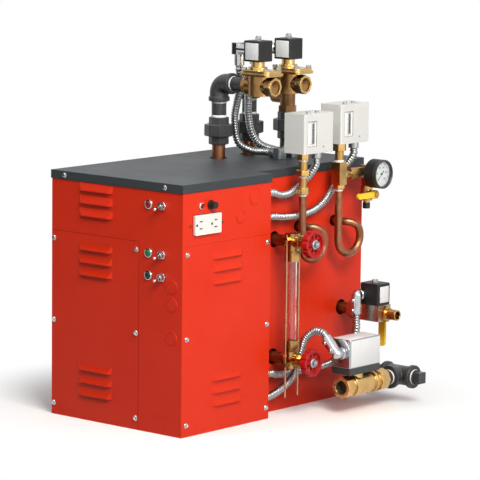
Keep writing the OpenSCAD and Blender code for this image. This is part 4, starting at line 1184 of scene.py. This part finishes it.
def wheel_nut(body, z):
    b = bmesh.new()
    face = box_mm("handwheel_upper")[1].x - 1
    turned(b, [(0, 0), (8.4, 0), (8.4, 0.8), (7.6, 1.4), (0, 1.4)], (face, WHEEL_Y, z), RIGHT, 28)
    hexagon(b, 10, 4.5, (face + 1.3, WHEEL_Y, z), RIGHT)
    turned(b, [(0, 0), (2.8, 0), (2.8, 1.2), (2.0, 1.8), (0, 1.8)], (face + 5.8, WHEEL_Y, z), RIGHT, 20)
    finished(body + "_nut", b, "bright_zinc", body)


valve_bolts()
for body, z in WHEEL_HEIGHTS:
    wheel_nut(body, z)

# %% [markdown]
# Where a conduit's connector meets a coil or the actuator, a plated ring covers the joint. The open ports
# lie in shade a little way in, where the thread ends and the valve's seat begins, so a dull lining stands
# there, in the colour of that shade: painted shade, lighter in the steam valves' ports than in the drain
# valve's.

# %% Hub rings and port linings
HUB_BORE, HUB_RADIUS, HUB_ROUND = 8, 11, 0.8


def hub_ring(b, at, axis, length):
    rim = HUB_RADIUS - HUB_ROUND
    turned(b, [(HUB_BORE, 0), (rim, 0), (HUB_RADIUS, HUB_ROUND), (HUB_RADIUS, length - HUB_ROUND),
               (rim, length), (HUB_BORE, length), (HUB_BORE, 0)], at, axis, 36)


def hub_rings():
    b = bmesh.new()
    hub_ring(b, (181, feed_coil_low.y - 11.5, 197), BACK, 11.3)
    hub_ring(b, (232, box_mm("actuator_cover")[0].y - 5.2, 113), BACK, 5)
    for y in (80, 144):
        hub_ring(b, (coil_low.x - 6.2, y, 630), RIGHT, 6)
    finished("hub_rings", b, "nickel_plate")


def lining(b, mouth, inward):
    turned(b, [(0, 16), (11.0, 16), (11.7, 14), (11.9, 5), (12.1, 4.2), (12.1, 16.4), (0, 16.4)], mouth,
           inward)


# Painted shade: a dull lining inside each port, lighter in the steam valves than in the drain valve.
def port_linings():
    b = bmesh.new()
    for y in STEAM_Y:
        lining(b, (71, y, STEAM_PORT_Z), LEFT)
    finished("steam_port_linings", b, "port_shade_brass")
    b = bmesh.new()
    lining(b, (DRAIN_X, 71, DRAIN_Z), BACK)
    finished("port_linings", b, "shaded_bronze")


hub_rings()
port_linings()

# %% [markdown]
# Thin plain plates with rounded corners lie on the coils and on the actuator. Plated straps with two
# screws each clamp two of the conduits, one of them on the slope of its connector, and a black cap closes
# the gauge cock.

# %% Bare plates, clamps and cap
PLATE_THICK, PLATE_PROUD, PLATE_ROUND = 0.5, 0.1, 0.2
STRAP_SLOPE = -47.3
COCK_Y = 234.5


def bare_plates():
    b = bmesh.new()
    for y in STEAM_Y:
        plate(b, (30, PLATE_THICK, 30), (31, y - 19.1, coil_low.z + 18.5), PLATE_ROUND)
    at = (feed_coil_high.x + PLATE_PROUD, feed_coil_middle.y, feed_coil_middle.z)
    plate(b, (PLATE_THICK, 25, 29), at, PLATE_ROUND)
    low, high = box_mm("actuator_cover")
    size, middle = high - low, (low + high) / 2
    at = (high.x + PLATE_PROUD, middle.y, middle.z)
    plate(b, (PLATE_THICK, size.y - 5, size.z - 4), at, PLATE_ROUND)
    at = (middle.x, middle.y, high.z + PLATE_PROUD)
    plate(b, (size.x - 5, size.y - 5, PLATE_THICK), at, PLATE_ROUND)
    finished("bare_plates", b, "plate_paper")


def conduit_clamps():
    b = bmesh.new()
    slope = Matrix.Rotation(math.radians(STRAP_SLOPE), 4, "Y")
    plate(b, (9, 3.5, 30), (220, 43.8, 126), 1.4, slope)
    plate(b, (9, 3.5, 28), (181, 161.8, 180), 1.4)
    for at in ((213.5, 41.9, 132), (226.5, 41.9, 120), (181, 159.9, 189), (181, 159.9, 171)):
        turned(b, [(0, 0), (3.4, 0), (3.4, 1.0), (2.4, 2.0), (0, 2.1)], at, FRONT, 24)
    finished("conduit_clamps", b, "nickel_plate")


def cock_cap():
    b = bmesh.new()
    foot = (SIPHON_X, COCK_Y, box_mm("gauge_cock")[0].z)
    turned(b, [(0, -0.8), (6.0, -0.8), (6.7, 0), (6.7, 9), (6.2, 10), (0, 10)], foot, UP, 32)
    finished("cock_cap", b, "black_moulding")


bare_plates()
conduit_clamps()
cock_cap()

# %% [markdown]
# Last, the view layer is updated.

# %% Finish
bpy.context.view_layer.update()
